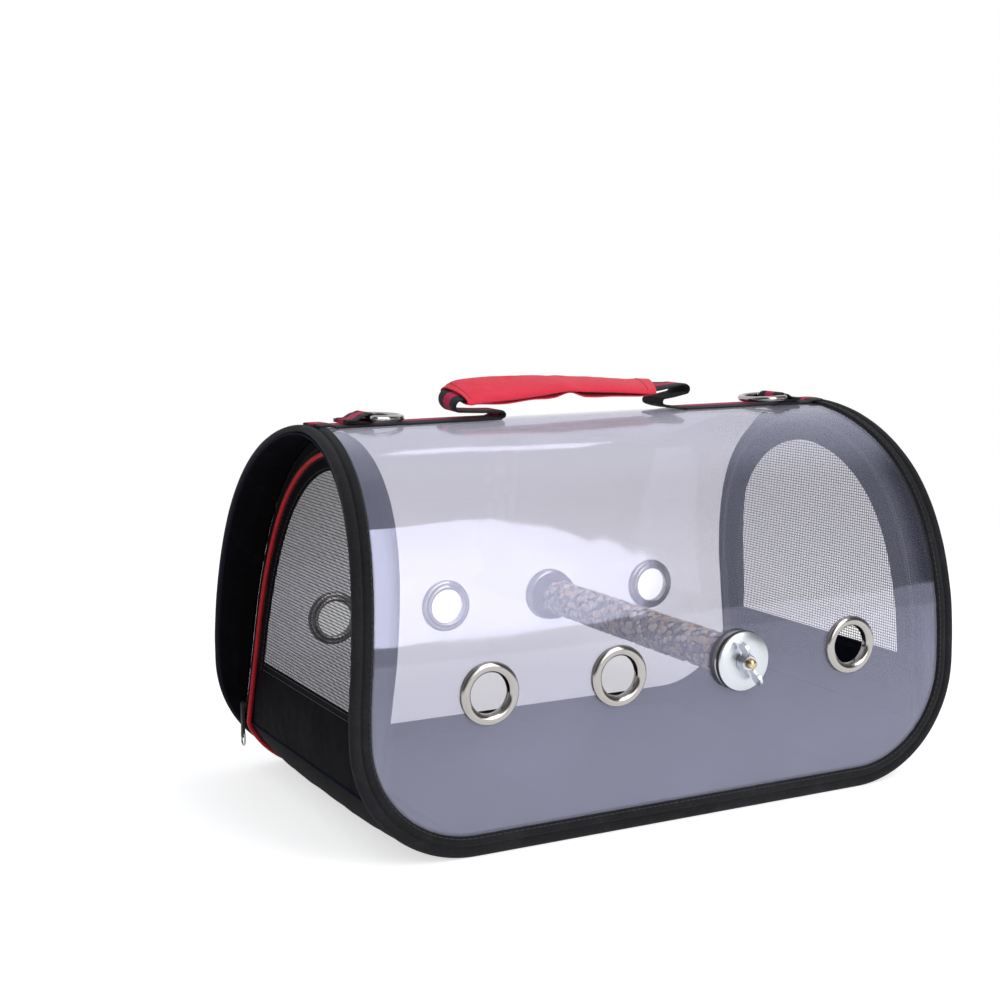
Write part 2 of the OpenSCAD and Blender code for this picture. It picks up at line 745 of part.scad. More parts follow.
// A point of the handle's cross section: v toward the back, w away from the ridge
function handle_point(x, v, w) =
    let (a = handle_tilt(x))
    [x, v * cos(a) - w * sin(a), handle_z(x) + v * sin(a) + w * cos(a)];
module handle_webbing() {
    function strip(w) = [
        for (i = [0 : handle_steps])
        let (x = handle_left + (handle_right - handle_left) * i / handle_steps)
        [for (v = [-1, 0, 1]) handle_point(x, v * webbing_width / 2, w)]
    ];
    color(black) skin(reversed(strip(webbing_thick / 2)), reversed(strip(-webbing_thick / 2)));
}

// Red wrap, open below, whose front edge hangs down in two scallops
grip_steps = 20;
flap_drop = 0.3;
scallop_drop = 3.8;
scallop_split = 0.54;
function scallop(u) = pow(abs(sin(180 * (
    u < scallop_split ? u / scallop_split : (u - scallop_split) / (1 - scallop_split)
))), 0.6);
module handle_grip() {
    half = grip_width / 2;
    seat = webbing_thick / 2;
    // Each point has v and w on the outer face, v and w on the inner face, and how far it hangs
    function section(u) = [
        [half - 1.5, seat - 4.5, half - 3, seat - 3.8, 0],
        [half + 0.4, seat - 2, half - 1.5, seat - 1.8, 0],
        [half - 0.8, seat + 1.1, half - 2, seat, 0],
        [half - 5, seat + 2.2, half - 5, seat + 0.4, 0],
        [0, seat + 2.8, 0, seat + 1, 0],
        [5 - half, seat + 2.2, 5 - half, seat + 0.4, 0],
        [0.4 - half, seat + 1.1, 1.6 - half, seat, 0],
        [-half - 1.2, seat - 0.4, -half - 0.1, seat - 0.6, 0],
        [-half - 1.2, seat - 0.4, -half - 0.1, seat - 0.6, flap_drop + scallop_drop * scallop(u)]
    ];
    function sheet(k) = [
        for (i = [0 : grip_steps])
        let (u = i / grip_steps, x = grip_left + 1 + (grip_length - 2) * u)
        [for (p = section(u)) handle_point(x, p[k], p[k + 1]) - [0, 0, p[4]]]
    ];
    color(red) skin(sheet(0), sheet(2));
}

clear_shell();
edge_binding();
gusset(-1);  // left_gusset
gusset(1);  // right_gusset
corner_panel(-1);  // left_corner_panel
corner_panel(1);  // right_corner_panel
corner_piping(-1);  // left_corner_piping
corner_piping(1);  // right_corner_piping
base_panel();
base_board();
door_frame(-1);  // left_door_frame
door_frame(1);  // right_door_frame
door_mesh(-1);  // left_door_mesh
door_mesh(1);  // right_door_mesh
door_panel(-1);  // left_door_panel
door_panel(1);  // right_door_panel
door_piping(-1);  // left_door_piping
door_piping(1);  // right_door_piping
zip_row(-1, 1);  // left_zip_body_half
zip_row(1, 1);  // right_zip_body_half
zip_row(-1, -1);  // left_zip_door_half
zip_row(1, -1);  // right_zip_door_half
zip_slider(-1);  // left_zip_slider
zip_slider(1);  // right_zip_slider
zip_pull(-1);  // left_zip_pull
zip_pull(1);  // right_zip_pull
zip_pull_end(-1);  // left_zip_pull_end
zip_pull_end(1);  // right_zip_pull_end
front_eyelets();
back_eyelets();
front_eyelet_washers();
back_eyelet_washers();
perch();
perch_studs();
perch_outer_washers();
perch_outer_discs();
perch_inner_discs();
wing_nut(-1);  // front_wing_nut
wing_nut(1);  // back_wing_nut
ridge_webbing(-1, left_strap_end);  // left_ridge_webbing
ridge_webbing(1, right_strap_end);  // right_ridge_webbing
ring_loop(-1);  // left_ring_loop
ring_loop(1);  // right_ring_loop
d_ring(-1);  // left_d_ring
d_ring(1);  // right_d_ring
left_handle_fold();
right_handle_fold();
handle_webbing();
handle_grip();
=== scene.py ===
import bisect
from math import asin, atan2, copysign, cos, dist, exp, hypot, pi, radians, sin, sqrt, tan

import bmesh
import bpy
from mathutils import Matrix, Vector, noise
from mathutils.geometry import interpolate_bezier


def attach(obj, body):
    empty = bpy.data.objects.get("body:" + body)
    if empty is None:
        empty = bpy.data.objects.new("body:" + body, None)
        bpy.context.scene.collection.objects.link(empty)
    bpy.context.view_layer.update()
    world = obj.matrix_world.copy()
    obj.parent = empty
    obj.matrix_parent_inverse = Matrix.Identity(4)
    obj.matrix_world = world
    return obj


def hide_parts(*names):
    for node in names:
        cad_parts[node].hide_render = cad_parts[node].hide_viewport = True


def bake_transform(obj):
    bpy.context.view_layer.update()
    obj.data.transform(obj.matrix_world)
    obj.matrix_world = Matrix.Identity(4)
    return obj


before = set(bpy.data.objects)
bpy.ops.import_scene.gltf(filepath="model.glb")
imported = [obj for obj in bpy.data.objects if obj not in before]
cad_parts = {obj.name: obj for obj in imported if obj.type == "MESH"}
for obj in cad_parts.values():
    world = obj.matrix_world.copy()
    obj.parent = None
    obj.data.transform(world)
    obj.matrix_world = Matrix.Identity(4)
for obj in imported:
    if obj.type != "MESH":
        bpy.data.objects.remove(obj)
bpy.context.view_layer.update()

tau = 2 * pi
mm = 0.001


# Shader nodes written as sums: a Wire is one output socket

class Wire:
    def __init__(self, shader, socket):
        self.shader, self.socket = shader, socket

    def maths(self, operation, *others):
        return self.shader.node("Math", {"operation": operation}, dict(enumerate((self, *others))))

    def __add__(self, other):
        return self.maths("ADD", other)

    def __sub__(self, other):
        return self.maths("SUBTRACT", other)

    def __mul__(self, other):
        return self.maths("MULTIPLY", other)

    def __pow__(self, other):
        return self.maths("POWER", other)

    def __rsub__(self, other):
        return self.maths("MULTIPLY", -1.0) + other

    __radd__ = __add__
    __rmul__ = __mul__

    def sine(self):
        return self.maths("SINE")

    def size(self):
        return self.maths("ABSOLUTE")

    def rise(self, low, high, start=0.0, end=1.0):
        return self.shader.node("MapRange", {"interpolation_type": "SMOOTHSTEP"}, {
            "Value": self, "From Min": low, "From Max": high, "To Min": start, "To Max": end})

    def above(self, edge, soft):
        return self.rise(edge - soft, edge + soft)


class Shader:
    def __init__(self, name, owner=None):
        self.owner = owner or bpy.data.materials.new(name)
        self.owner.use_nodes = True
        self.tree = self.owner.node_tree
        self.tree.nodes.clear()

    def node(self, kind, settings=None, values=None, output=0):
        made = self.tree.nodes.new("ShaderNode" + kind)
        for key, value in (settings or {}).items():
            if key == "stops":
                ramp = made.color_ramp
                while len(ramp.elements) < len(value):
                    ramp.elements.new(0.5)
                for element, (place, colour) in zip(ramp.elements, value):
                    element.position, element.color = place, (*colour, 1)
            elif key == "ramp":
                made.color_ramp.interpolation = value
            else:
                setattr(made, key, value)
        for key, value in (values or {}).items():
            if isinstance(value, Wire):
                self.tree.links.new(value.socket, made.inputs[key])
            elif isinstance(value, (tuple, list)) and len(value) == 3 and made.inputs[key].type == "RGBA":
                made.inputs[key].default_value = (*value, 1)
            else:
                made.inputs[key].default_value = value
        return Wire(self, made.outputs[output]) if len(made.outputs) else None

    def place(self):
        return self.node("TexCoord", output="Object")

    def parts(self, wire, outputs=(0, 1), kind="XYZ"):
        return [self.node("Separate" + kind, values={0: wire}, output=i) for i in outputs]

    def across(self):
        return self.parts(self.node("UVMap", {"uv_map": "UVMap"}))

    def rays(self):
        return [self.node("LightPath", output=f"Is {ray} Ray") for ray in ("Camera", "Glossy", "Transmission")]

    def speckle(self, scale, detail=3.0, roughness=0.6, where=None):
        return self.node("TexNoise", values={
            "Vector": where or self.place(), "Scale": scale, "Detail": detail, "Roughness": roughness})

    def mix(self, share, first, second):
        return self.node("Mix", {"data_type": "RGBA"}, {0: share, 6: first, 7: second}, 2)

    def bump(self, height, strength, distance):
        return self.node("Bump", values={"Height": height, "Strength": strength, "Distance": distance})

    def surface(self, **values):
        return self.node("BsdfPrincipled", values={k.replace("_", " "): v for k, v in values.items()})

    def finish(self, surface):
        self.node("OutputMaterial", values={"Surface": surface})
        return self.owner


# Finishes

def wovenCloth(name, dark, light, pitch=0.0009, roughness=0.85, sheen=0.05, depth=0.5, gloss=0.04,
               paintedReflection=None, reflectionSide=1.0):
    sh = Shader(name)
    u, v = sh.across()
    over = (u * (tau / pitch)).sine() * (v * (tau / pitch)).sine()
    slub = sh.speckle(600.0, 4.0)
    cloud = sh.speckle(22.0, 5.0)
    lit = over * 0.12 + slub * 0.5 + cloud * 0.75 - 0.35
    worn = sh.speckle(90.0, 6.0).above(0.62, 0.1) * 0.25
    colour = sh.mix(lit + worn, dark, light)
    # Navy on the faces seen through the clear sheet is a painted bluish reflection of the sheet, not a colour
    # of the cloth
    if paintedReflection:
        middle = (0.0, 0.0, 0.11)  # a spot inside the carrier; faces turned the chosen way from it get the navy, which is painted reflection
        inward = sh.node("VectorMath", {"operation": "SUBTRACT"}, {0: middle, 1: sh.place()})
        normal = sh.node("NewGeometry", output="Normal")
        turned = sh.node("VectorMath", {"operation": "DOT_PRODUCT"}, {0: inward, 1: normal}, "Value")
        thread = slub * 0.3 + over * 0.1 + cloud * 0.6
        reflectedBlue = sh.mix(thread, [0.75 * c for c in paintedReflection], [1.2 * c for c in paintedReflection])
        colour = sh.mix((turned * reflectionSide).above(0.0, 0.002), colour, reflectedBlue)
    return sh.finish(sh.surface(
        Base_Color=colour,
        Roughness=roughness - slub * 0.15,
        Normal=sh.bump(over * 0.5 + slub * 0.7, depth, 0.0003),
        Sheen_Weight=sheen, Sheen_Roughness=0.5, Specular_IOR_Level=gloss))


def stripedWebbing(name, stripeHalf, width=25 * mm):
    sh = Shader(name)
    u, v = sh.across()
    fromMiddle = (v - width / 2).size()
    rib = ((u + fromMiddle * 0.9) * (tau / 0.0021)).sine()
    yarn = (v * (tau / 0.0011)).sine()
    slub = sh.speckle(700.0, 4.0)
    edge = fromMiddle.above(width / 2 - 0.0013, 0.0004)
    base = sh.mix(slub * 0.5 + rib * 0.12 + 0.1, (0.006, 0.006, 0.008), (0.028, 0.028, 0.033))
    red = sh.mix(slub * 0.5 + rib * 0.2 + 0.2, (0.4, 0.008, 0.055), (0.8, 0.03, 0.15))
    stripe = 1 - (fromMiddle + rib * 0.0002).above(stripeHalf, 0.0003)
    return sh.finish(sh.surface(
        Base_Color=sh.mix(stripe, base, red), Roughness=0.82 - slub * 0.15,
        Normal=sh.bump(rib * 0.8 + yarn * 0.4 + slub * 0.4 + edge, 0.6, 0.0003),
        Sheen_Weight=0.08, Sheen_Roughness=0.5, Specular_IOR_Level=0.2))


def plated(name, colour, roughness, grain, stain=(0.5, 0.47, 0.42)):
    sh = Shader(name)
    haze = sh.speckle(45.0, 6.0)
    fine = sh.speckle(900.0, 3.0)
    rubbed = sh.speckle(160.0, 6.0, 0.7).above(0.63, 0.06)
    return sh.finish(sh.surface(
        Base_Color=sh.mix(haze.above(0.62, 0.16) * 0.35, colour, stain), Metallic=1.0,
        Roughness=haze * 0.12 + rubbed * 0.1 + (roughness - 0.06),
        Normal=sh.bump(fine * 0.5 + haze, grain, 0.0002)))


def moulded(name, dark, light, roughness, scale=500.0, depth=0.3):
    sh = Shader(name)
    grain = sh.speckle(scale, 4.0)
    cloud = sh.speckle(30.0, 5.0)
    rubbed = sh.speckle(120.0, 7.0, 0.7).above(0.64, 0.07)
    return sh.finish(sh.surface(
        Base_Color=sh.mix(cloud * 0.5 + rubbed * 0.4, dark, light),
        Roughness=roughness + grain * 0.14 - rubbed * 0.1,
        Normal=sh.bump(grain + rubbed * 0.3, depth, 0.0003)))


def clearVinyl(name):
    sh = Shader(name)
    ripple = sh.speckle(9.0, 2.0, 0.4) + sh.speckle(35.0, 2.0, 0.4) * 0.12
    bent = sh.bump(ripple, 0.22, 0.004)
    smear = sh.speckle(14.0, 3.0, 0.6).above(0.6, 0.16)
    scuff = sh.speckle(150.0, 2.0, 0.5).above(0.74, 0.05)
    edgeOn = sh.node("LayerWeight", values={"Blend": 0.5, "Normal": bent}, output="Facing") ** 4
    along, height = sh.parts(sh.place(), (0, 2))
    paintedShadeAtEnds = (along.size() + height * 0.105).above(0.1955, 0.006)  # less milky over the bands at both ends, so the ends read darker: painted shade
    # The film is milkier towards the bottom
    milkierLow = height.rise(0.02, 0.13, 0.06, 0.0)
    film = sh.surface(
        Base_Color=sh.mix(edgeOn, (0.725, 0.735, 0.965), (0.95, 0.955, 1.0)),
        # The metallic rise at the ends darkens them: painted shade
        Metallic=edgeOn * 0.15 + 0.5 + paintedShadeAtEnds * 0.35,
        Roughness=smear * 0.05 + scuff * 0.05 + 0.05, Normal=bent, Specular_IOR_Level=0.3)
    clear = sh.node("BsdfTransparent", values={"Color": (0.912, 0.904, 0.915)})
    share = edgeOn * 0.75 + smear * 0.02 + scuff * 0.02 + milkierLow + 0.13
    return sh.finish(sh.node("MixShader", values={0: share, 1: clear, 2: film}))


def gritCoat(name):
    sh = Shader(name)
    painted = sh.node("VertexColor", {"layer_name": "chips"})
    pick, edge = sh.parts(painted, kind="Color")
    chip = sh.node("ValToRGB", {"ramp": "CONSTANT", "stops": [
        (0.0, (0.2, 0.18, 0.16)), (0.17, (0.56, 0.46, 0.34)), (0.34, (0.78, 0.64, 0.45)),
        (0.5, (0.15, 0.13, 0.11)), (0.58, (0.86, 0.72, 0.53)), (0.72, (0.84, 0.46, 0.16)),
        (0.84, (0.4, 0.34, 0.27)), (0.92, (0.95, 0.86, 0.7))]}, {0: pick})
    sand = sh.speckle(1300.0, 4.0)
    mottle = sh.speckle(420.0, 4.0)
    cement = sh.mix(sand, (0.014, 0.011, 0.009), (0.06, 0.048, 0.038))
    stone = sh.mix(mottle.above(0.5, 0.16) * 0.3, chip, (0.06, 0.05, 0.045))
    onChip = edge.above(0.17, 0.12)
    return sh.finish(sh.surface(
        Base_Color=sh.mix(onChip, cement, stone), Roughness=0.9 - onChip * 0.3,
        Normal=sh.bump(mottle * 0.5 + sand * 0.6, 0.7, 0.0004)))


tapeCloth = wovenCloth(
    "bindingTape", (0.008, 0.008, 0.01), (0.036, 0.036, 0.041), 0.0008, roughness=0.8, sheen=0.06,
    depth=0.6, gloss=0.1)
# The navy given to the band and panel faces behind the clear sheet is painted reflection
bandCloth = wovenCloth(
    "bandCloth", (0.003, 0.003, 0.004), (0.013, 0.013, 0.016), sheen=0.0, depth=0.14,
    paintedReflection=(0.011, 0.013, 0.028), reflectionSide=-1.0)
panelCloth = wovenCloth(
    "panelCloth", (0.002, 0.002, 0.003), (0.01, 0.01, 0.012), roughness=0.82, sheen=0.0, depth=0.16,
    paintedReflection=(0.01, 0.011, 0.022))
zipCloth = wovenCloth("zipTape", (0.004, 0.004, 0.005), (0.018, 0.018, 0.021), sheen=0.02)
boardCloth = wovenCloth("boardCloth", (0.01, 0.011, 0.016), (0.042, 0.044, 0.06), roughness=0.75, sheen=0.03)
wrapCloth = wovenCloth(
    "wrapCloth", (0.88, 0.022, 0.052), (1.0, 0.09, 0.16), roughness=0.72, sheen=0.1, depth=0.6, gloss=0.2)
cordCloth = wovenCloth(
    "pipingCloth", (0.44, 0.003, 0.01), (0.8, 0.018, 0.034), 0.0007, roughness=0.5, sheen=0.1,
    depth=0.4, gloss=0.25)
netYarn = moulded("netYarn", (0.012, 0.012, 0.015), (0.045, 0.046, 0.054), 0.6, 900.0)
threadBlack = moulded("threadBlack", (0.014, 0.014, 0.016), (0.06, 0.06, 0.066), 0.6, 1500.0)
threadRed = moulded("threadRed", (0.3, 0.01, 0.02), (0.58, 0.04, 0.06), 0.6, 1500.0)
toothPlastic = moulded("toothPlastic", (0.012, 0.012, 0.014), (0.05, 0.05, 0.055), 0.38, 700.0)
rubber = moulded("rubber", (0.01, 0.01, 0.011), (0.045, 0.045, 0.048), 0.62, 600.0)
enamel = moulded("enamel", (0.018, 0.018, 0.02), (0.085, 0.085, 0.09), 0.28, 300.0, 0.15)
nickel = plated("nickel", (0.41, 0.39, 0.375), 0.11, 0.08, (0.3, 0.28, 0.26))
zinc = plated("zinc", (0.6, 0.62, 0.66), 0.3, 0.25, (0.48, 0.48, 0.48))
brass = plated("brass", (0.62, 0.5, 0.31), 0.3, 0.2, (0.4, 0.28, 0.14))
vinyl = clearVinyl("clearVinyl")
grit = gritCoat("gritCoat")
webbing = stripedWebbing("striped", 4.4 * mm)
plainWebbing = stripedWebbing("plainSide", -1.0 * mm)
print("finishes made")


# Shape of the carrier: an arch seen from the end, and an outline seen from the front

carrier = {
    "halfLength": 210 * mm, "halfDepth": 117 * mm, "ridge": 236 * mm, "ridgeHalf": 190 * mm,
    "corner": 75 * mm, "flatHigh": 114 * mm, "leanStart": 89 * mm,
    "tapeThick": 1.2 * mm, "sheetThick": 1.0 * mm, "clothThick": 0.9 * mm, "tapeWidth": 15 * mm,
    "widthPower": 1.88, "heightPower": 4.8, "leanPower": 1.2, "endPower": 1.52,
}
sheetDepth = carrier["tapeThick"]
tapeDepth = 2 * carrier["tapeThick"] + carrier["sheetThick"] + carrier["clothThick"]
cornerX = carrier["halfLength"] - carrier["corner"]


def clamp(x, low=0.0, high=1.0):
    return max(low, min(high, x))


def eased(x):
    x = clamp(x)
    return x * x * (3 - 2 * x)


def archAngle(z):
    return asin(clamp(z / carrier["ridge"]) ** (carrier["heightPower"] / 2))


curveStart = archAngle(carrier["flatHigh"])


def archAt(t, depth):
    wide = max(0, cos(t) / cos(curveStart)) ** (2 / carrier["widthPower"])
    high = max(0, sin(t)) ** (2 / carrier["heightPower"])
    return (carrier["halfDepth"] - depth) * min(1, wide), (carrier["ridge"] - depth) * high


def endX(z):
    span = carrier["ridge"] - carrier["leanStart"]
    drop = clamp((z - carrier["leanStart"]) / span) ** carrier["leanPower"]
    gain = carrier["halfLength"] - carrier["ridgeHalf"]
    return carrier["ridgeHalf"] + gain * (1 - drop) ** (1 / carrier["endPower"])


def rimX(z):
    bend = sqrt(carrier["corner"] ** 2 - max(0, carrier["corner"] - z) ** 2)
    return min(endX(z), cornerX + bend)


def measured(depth, low, steps=900):
    table, spot, length = [], None, 0.0
    for i in range(steps + 1):
        t = low + (pi / 2 - low) * (1 - i / steps) ** 2
        here = Vector(archAt(t, depth))
        if spot is not None:
            length += (here - spot).length
        table.append((length, t))
        spot = here
    return table


def angleAt(table, s):
    i = bisect.bisect_left(table, (abs(s), -1))
    if i <= 0:
        return table[0][1]
    if i >= len(table):
        return table[-1][1]
    (a, ta), (b, tb) = table[i - 1], table[i]
    return ta + (tb - ta) * (abs(s) - a) / max(1e-9, b - a)


def wobble(x, y, z=0.0, scale=1.0):
    return noise.noise(Vector((x * scale, y * scale, z * scale)))


# Even steps from -1 to 1, a search by halves, and the lengths along a path

def spread(count):
    return [2 * i / count - 1 for i in range(count + 1)]


def lastWhere(test, low, high, steps=30):
    for _ in range(steps):
        middle = (low + high) / 2
        low, high = (middle, high) if test(middle) else (low, middle)
    return low


def lengthsAlong(path):
    along = [0.0]
    for a, b in zip(path, path[1:]):
        along.append(along[-1] + dist(a, b))
    return along


# Builders shared by the pieces

def addObject(name, data):
    made = bpy.data.objects.new(name, data)
    bpy.context.collection.objects.link(made)
    return made


def newObject(name, bm, material=None):
    mesh = bpy.data.meshes.new(name)
    bm.to_mesh(mesh)
    bm.free()
    if material:
        mesh.materials.append(material)
    return addObject(name, mesh)


def wrapGrid(countU, countV, place, sizeU=1.0, sizeV=1.0, paint=None):
    bm = bmesh.new()
    bmesh.ops.create_grid(bm, x_segments=countU, y_segments=countV, size=1)
    spots = {v: ((v.co.x + 1) / 2, (v.co.y + 1) / 2) for v in bm.verts}
    layer = bm.loops.layers.uv.new("UVMap")
    for face in bm.faces:
        face.smooth = True
        for loop in face.loops:
            u, v = spots[loop.vert]
            loop[layer].uv = paint(u, v) if paint else (u * sizeU, v * sizeV)
    for vert, (u, v) in spots.items():
        vert.co = place(u, v)
    bmesh.ops.remove_doubles(bm, verts=bm.verts, dist=1e-6)
    return bm


def capped(bm):
    bmesh.ops.holes_fill(bm, edges=[e for e in bm.edges if e.is_boundary])
    return bm


def sweep(path, radius, sides=12):
    radiusAt = radius if callable(radius) else lambda u: radius
    last = len(path) - 1
    frames = []
    for i, spot in enumerate(path):
        ahead = (path[min(i + 1, last)] - path[max(i - 1, 0)]).normalized()
        side = ahead.cross(Vector((1, 0, 0)) if abs(ahead.y) > 0.9 else Vector((0, 1, 0))).normalized()
        frames.append((spot, side, side.cross(ahead)))

    def place(u, v):
        spot, side, up = frames[round(u * last)]
        r = radiusAt(u)
        return spot + side * (r * cos(tau * v)) + up * (r * sin(tau * v))

    return capped(wrapGrid(last, sides, place, lengthsAlong(path)[-1], tau * radiusAt(0.5)))


def addPiece(name, bm, material, stands=(), body="carrier"):
    bmesh.ops.recalc_face_normals(bm, faces=bm.faces)
    piece = newObject(name, bm, material)
    if body:
        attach(piece, body)
    if stands:
        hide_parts(*stands)
    return piece


def thicken(piece, thickness=carrier["clothThick"], offset=-1.0):
    solid = piece.modifiers.new("cloth", "SOLIDIFY")
    solid.thickness, solid.offset = thickness, offset


def asSheet(piece, width, length):
    cut = sum(face.area for face in piece.data.polygons)
    min(cut, width * length)


def addCloth(name, bm, material, stands, width, length, body="carrier",
             thickness=carrier["clothThick"]):
    piece = addPiece(name, bm, material, stands, body)
    asSheet(piece, width, length)
    thicken(piece, thickness)


def smoother(piece):
    rounded = piece.modifiers.new("rounded", "SUBSURF")
    rounded.levels = rounded.render_levels = 1


def spun(profile, steps, place):
    bm = bmesh.new()
    verts = [bm.verts.new((r * mm, 0, z * mm)) for r, z in profile]
    edges = [bm.edges.new(pair) for pair in zip(verts, verts[1:])]
    bmesh.ops.spin(bm, geom=verts + edges, cent=(0, 0, 0), axis=(0, 0, 1), angle=tau,
                   steps=steps, use_merge=True)
    bmesh.ops.remove_doubles(bm, verts=bm.verts, dist=1e-6)
    for face in bm.faces:
        face.smooth = True
    bmesh.ops.transform(bm, matrix=place, verts=bm.verts)
    return bm


def joined(parts):
    whole = bmesh.new()
    for part in parts:
        bmesh.ops.recalc_face_normals(part, faces=part.faces)
        mesh = bpy.data.meshes.new("part")
        part.to_mesh(mesh)
        part.free()
        whole.from_mesh(mesh)
        bpy.data.meshes.remove(mesh)
    return whole


def addBlock(bm, spot, *sides):
    turned = Matrix(sides).transposed().to_4x4()
    bmesh.ops.create_cube(bm, size=1, matrix=Matrix.Translation(spot) @ turned)


def stitches(path, size, outward):
    length, gap, width = size
    bm = bmesh.new()
    along = lengthsAlong(path)
    s = gap
    while s + length < along[-1]:
        i = min(len(along) - 2, bisect.bisect_right(along, s + length / 2) - 1)
        a, b = path[i], path[i + 1]
        middle = a.lerp(b, (s + length / 2 - along[i]) / max(1e-9, along[i + 1] - along[i]))
        ahead, out = (b - a).normalized(), outward(middle).normalized()
        addBlock(bm, middle, ahead * length, ahead.cross(out).normalized() * width, out * width * 0.8)
        s += length + gap
    return bm


# Clear sheet: one piece bent over the top, holed for the eyelets

clearRoll = {"grid": (84, 200), "underTape": 2.2 * mm, "lowest": 2 * mm}
eyelets = {"xs": [-126 * mm, -42 * mm, 42 * mm, 126 * mm], "height": 93 * mm, "hole": 13.4 * mm}
sheetTable = measured(sheetDepth, 0.0)
sheetEnd = sheetTable[-1][0]


def onSheet(u, v):
    s = (2 * v - 1) * sheetEnd
    y, z = archAt(angleAt(sheetTable, s), sheetDepth)
    edge = rimX(z) - clearRoll["underTape"]
    return Vector(((2 * u - 1) * edge, copysign(y, s), max(z, clearRoll["lowest"])))


sheetMesh = wrapGrid(*clearRoll["grid"], onSheet, 2 * carrier["halfLength"], 2 * sheetEnd)
clearSheet = addPiece("clear_sheet", sheetMesh, vinyl, ["clear_shell"])
thicken(clearSheet, carrier["sheetThick"])
punchMesh = bmesh.new()
for x in eyelets["xs"]:
    through = Matrix.Translation((x, 0, eyelets["height"])) @ Matrix.Rotation(pi / 2, 4, "X")
    bmesh.ops.create_cone(punchMesh, cap_ends=True, segments=48, depth=0.4, matrix=through,
                          radius1=eyelets["hole"], radius2=eyelets["hole"])
punch = newObject("punch", punchMesh)
holes = clearSheet.modifiers.new("holes", "BOOLEAN")
holes.operation, holes.object, holes.solver = "DIFFERENCE", punch, "EXACT"
bpy.context.view_layer.update()
cut = bpy.data.meshes.new_from_object(clearSheet.evaluated_get(bpy.context.evaluated_depsgraph_get()))
clearSheet.modifiers.clear()
clearSheet.data = cut
bpy.data.objects.remove(punch)
print("clear sheet bent and punched")


# Binding tape folded round the sheet's whole rim, as a closed loop with two ribs

tape = {
    "lowSteps": 34, "bendSteps": 30, "step": 4 * mm, "length": 1.9, "round": 0.04,
    "seamInset": 11.3 * mm, "seamDepth": -0.28 * mm, "stitch": (2.6 * mm, 1.1 * mm, 0.5 * mm),
    "section": [
        (12.6, 1.2), (12.6, 0.6), (12.2, 0.1), (11.2, -0.25), (9.6, -0.45), (8.1, -0.3), (7.1, 0.1),
        (6.6, 0.75), (6.1, 0.75), (5.5, 0.1), (4.5, -0.3), (3.1, -0.45), (1.6, -0.2), (0.6, 0.5),
        (0.0, 1.6), (0.0, 2.8), (0.7, 3.9), (2.0, 4.3), (7.0, 4.35), (12.5, 4.3), (14.6, 4.1),
        (15.0, 3.4), (14.4, 2.3)],
}
outerTable = measured(0.0, 0.0)


def rimStations():
    lowSteps, bendSteps = tape["lowSteps"], tape["bendSteps"]
    quarter = [("low", cornerX * i / lowSteps) for i in range(lowSteps + 1)]
    quarter += [("bend", pi / 2 * i / bendSteps) for i in range(1, bendSteps + 1)]
    topStart = next(s for s, t in reversed(outerTable) if archAt(t, 0)[1] >= carrier["corner"])
    count = int(topStart / tape["step"])
    quarter += [("end", topStart * (1 - i / count)) for i in range(1, count + 1)]
    around = []
    for sx in (1, -1):
        around += [(sx, -sx, q) for q in quarter[:-1]] + [(sx, sx, q) for q in reversed(quarter[1:])]
    return around


rims = rimStations()


def onRim(k, inset, depth):
    sx, sy, (kind, value) = rims[k % len(rims)]
    if kind == "low":
        x, z = value, inset
    elif kind == "bend":
        x = cornerX + (carrier["corner"] - inset) * sin(value)
        z = carrier["corner"] - (carrier["corner"] - inset) * cos(value)
    else:
        z = archAt(angleAt(outerTable, value), 0)[1]
        x = endX(z) - inset
    t = archAngle(z)
    y, z = archAt(t, depth)
    return Vector((sx * x, sy * y, z))


def onTape(u, v):
    k = round(u * len(rims))
    inset, depth = tape["section"][round(v * len(tape["section"])) % len(tape["section"])]
    spot = onRim(k, inset * mm, depth * mm)
    swell = wobble(*spot, 60) * 0.18 + wobble(*spot, 210) * 0.1
    if 0 < inset < 12.6:
        spot = onRim(k, inset * mm, (depth - swell * (1 if depth < 2 else -1)) * mm)
    return spot


tapeMesh = wrapGrid(len(rims), len(tape["section"]), onTape, tape["length"], tape["round"])
tapeLoop = addPiece("rim_tape", tapeMesh, tapeCloth, ["edge_binding"])
smoother(tapeLoop)


def away(spot):
    t = archAngle(spot.z)
    y, z = archAt(t, 0)
    near = archAt(t + 0.01, 0)
    ahead = Vector((0, near[0] - y, near[1] - z))
    return Vector((0, copysign(ahead.z, spot.y), -ahead.y if ahead.z > 0 else abs(ahead.y)))


seamPath = [onRim(k, tape["seamInset"], tape["seamDepth"]) for k in range(len(rims) + 1)]
addPiece("rim_stitches", stitches(seamPath, tape["stitch"], away), threadBlack)
print("rim bound")


# Doors lean inward from the fold that they turn on

doors = {
    "hingeHeight": 33 * mm, "hingeX": 192 * mm, "lean": {-1: radians(7.9), 1: radians(4.5)},
    "sill": 75.5 * mm, "zipDepth": 12.4 * mm, "frameDepth": 15 * mm, "windowDepth": 28 * mm, "hem": 6 * mm,
    "netPitch": 1.85 * mm, "netBar": {-1: 0.45 * mm, 1: 0.36 * mm}, "netUnder": 0.8 * mm, "bulge": 2.2 * mm,
    "puff": 0.7 * mm, "pipe": 1.65 * mm, "pipeInset": 2.6 * mm, "pipeOut": 1.5 * mm, "pipeShort": 6 * mm,
    "borderCut": 22 * mm, "clothCut": 42 * mm, "stitch": (2.4 * mm, 1.1 * mm, 0.4 * mm),
}
sideName = {-1: "left", 1: "right"}
hingeAngle = archAngle(doors["hingeHeight"])
zipTable = measured(doors["zipDepth"], hingeAngle)
pathEnd = zipTable[-1][0]


def planeX(z, side):
    return doors["hingeX"] - (z - doors["hingeHeight"]) * tan(doors["lean"][side])


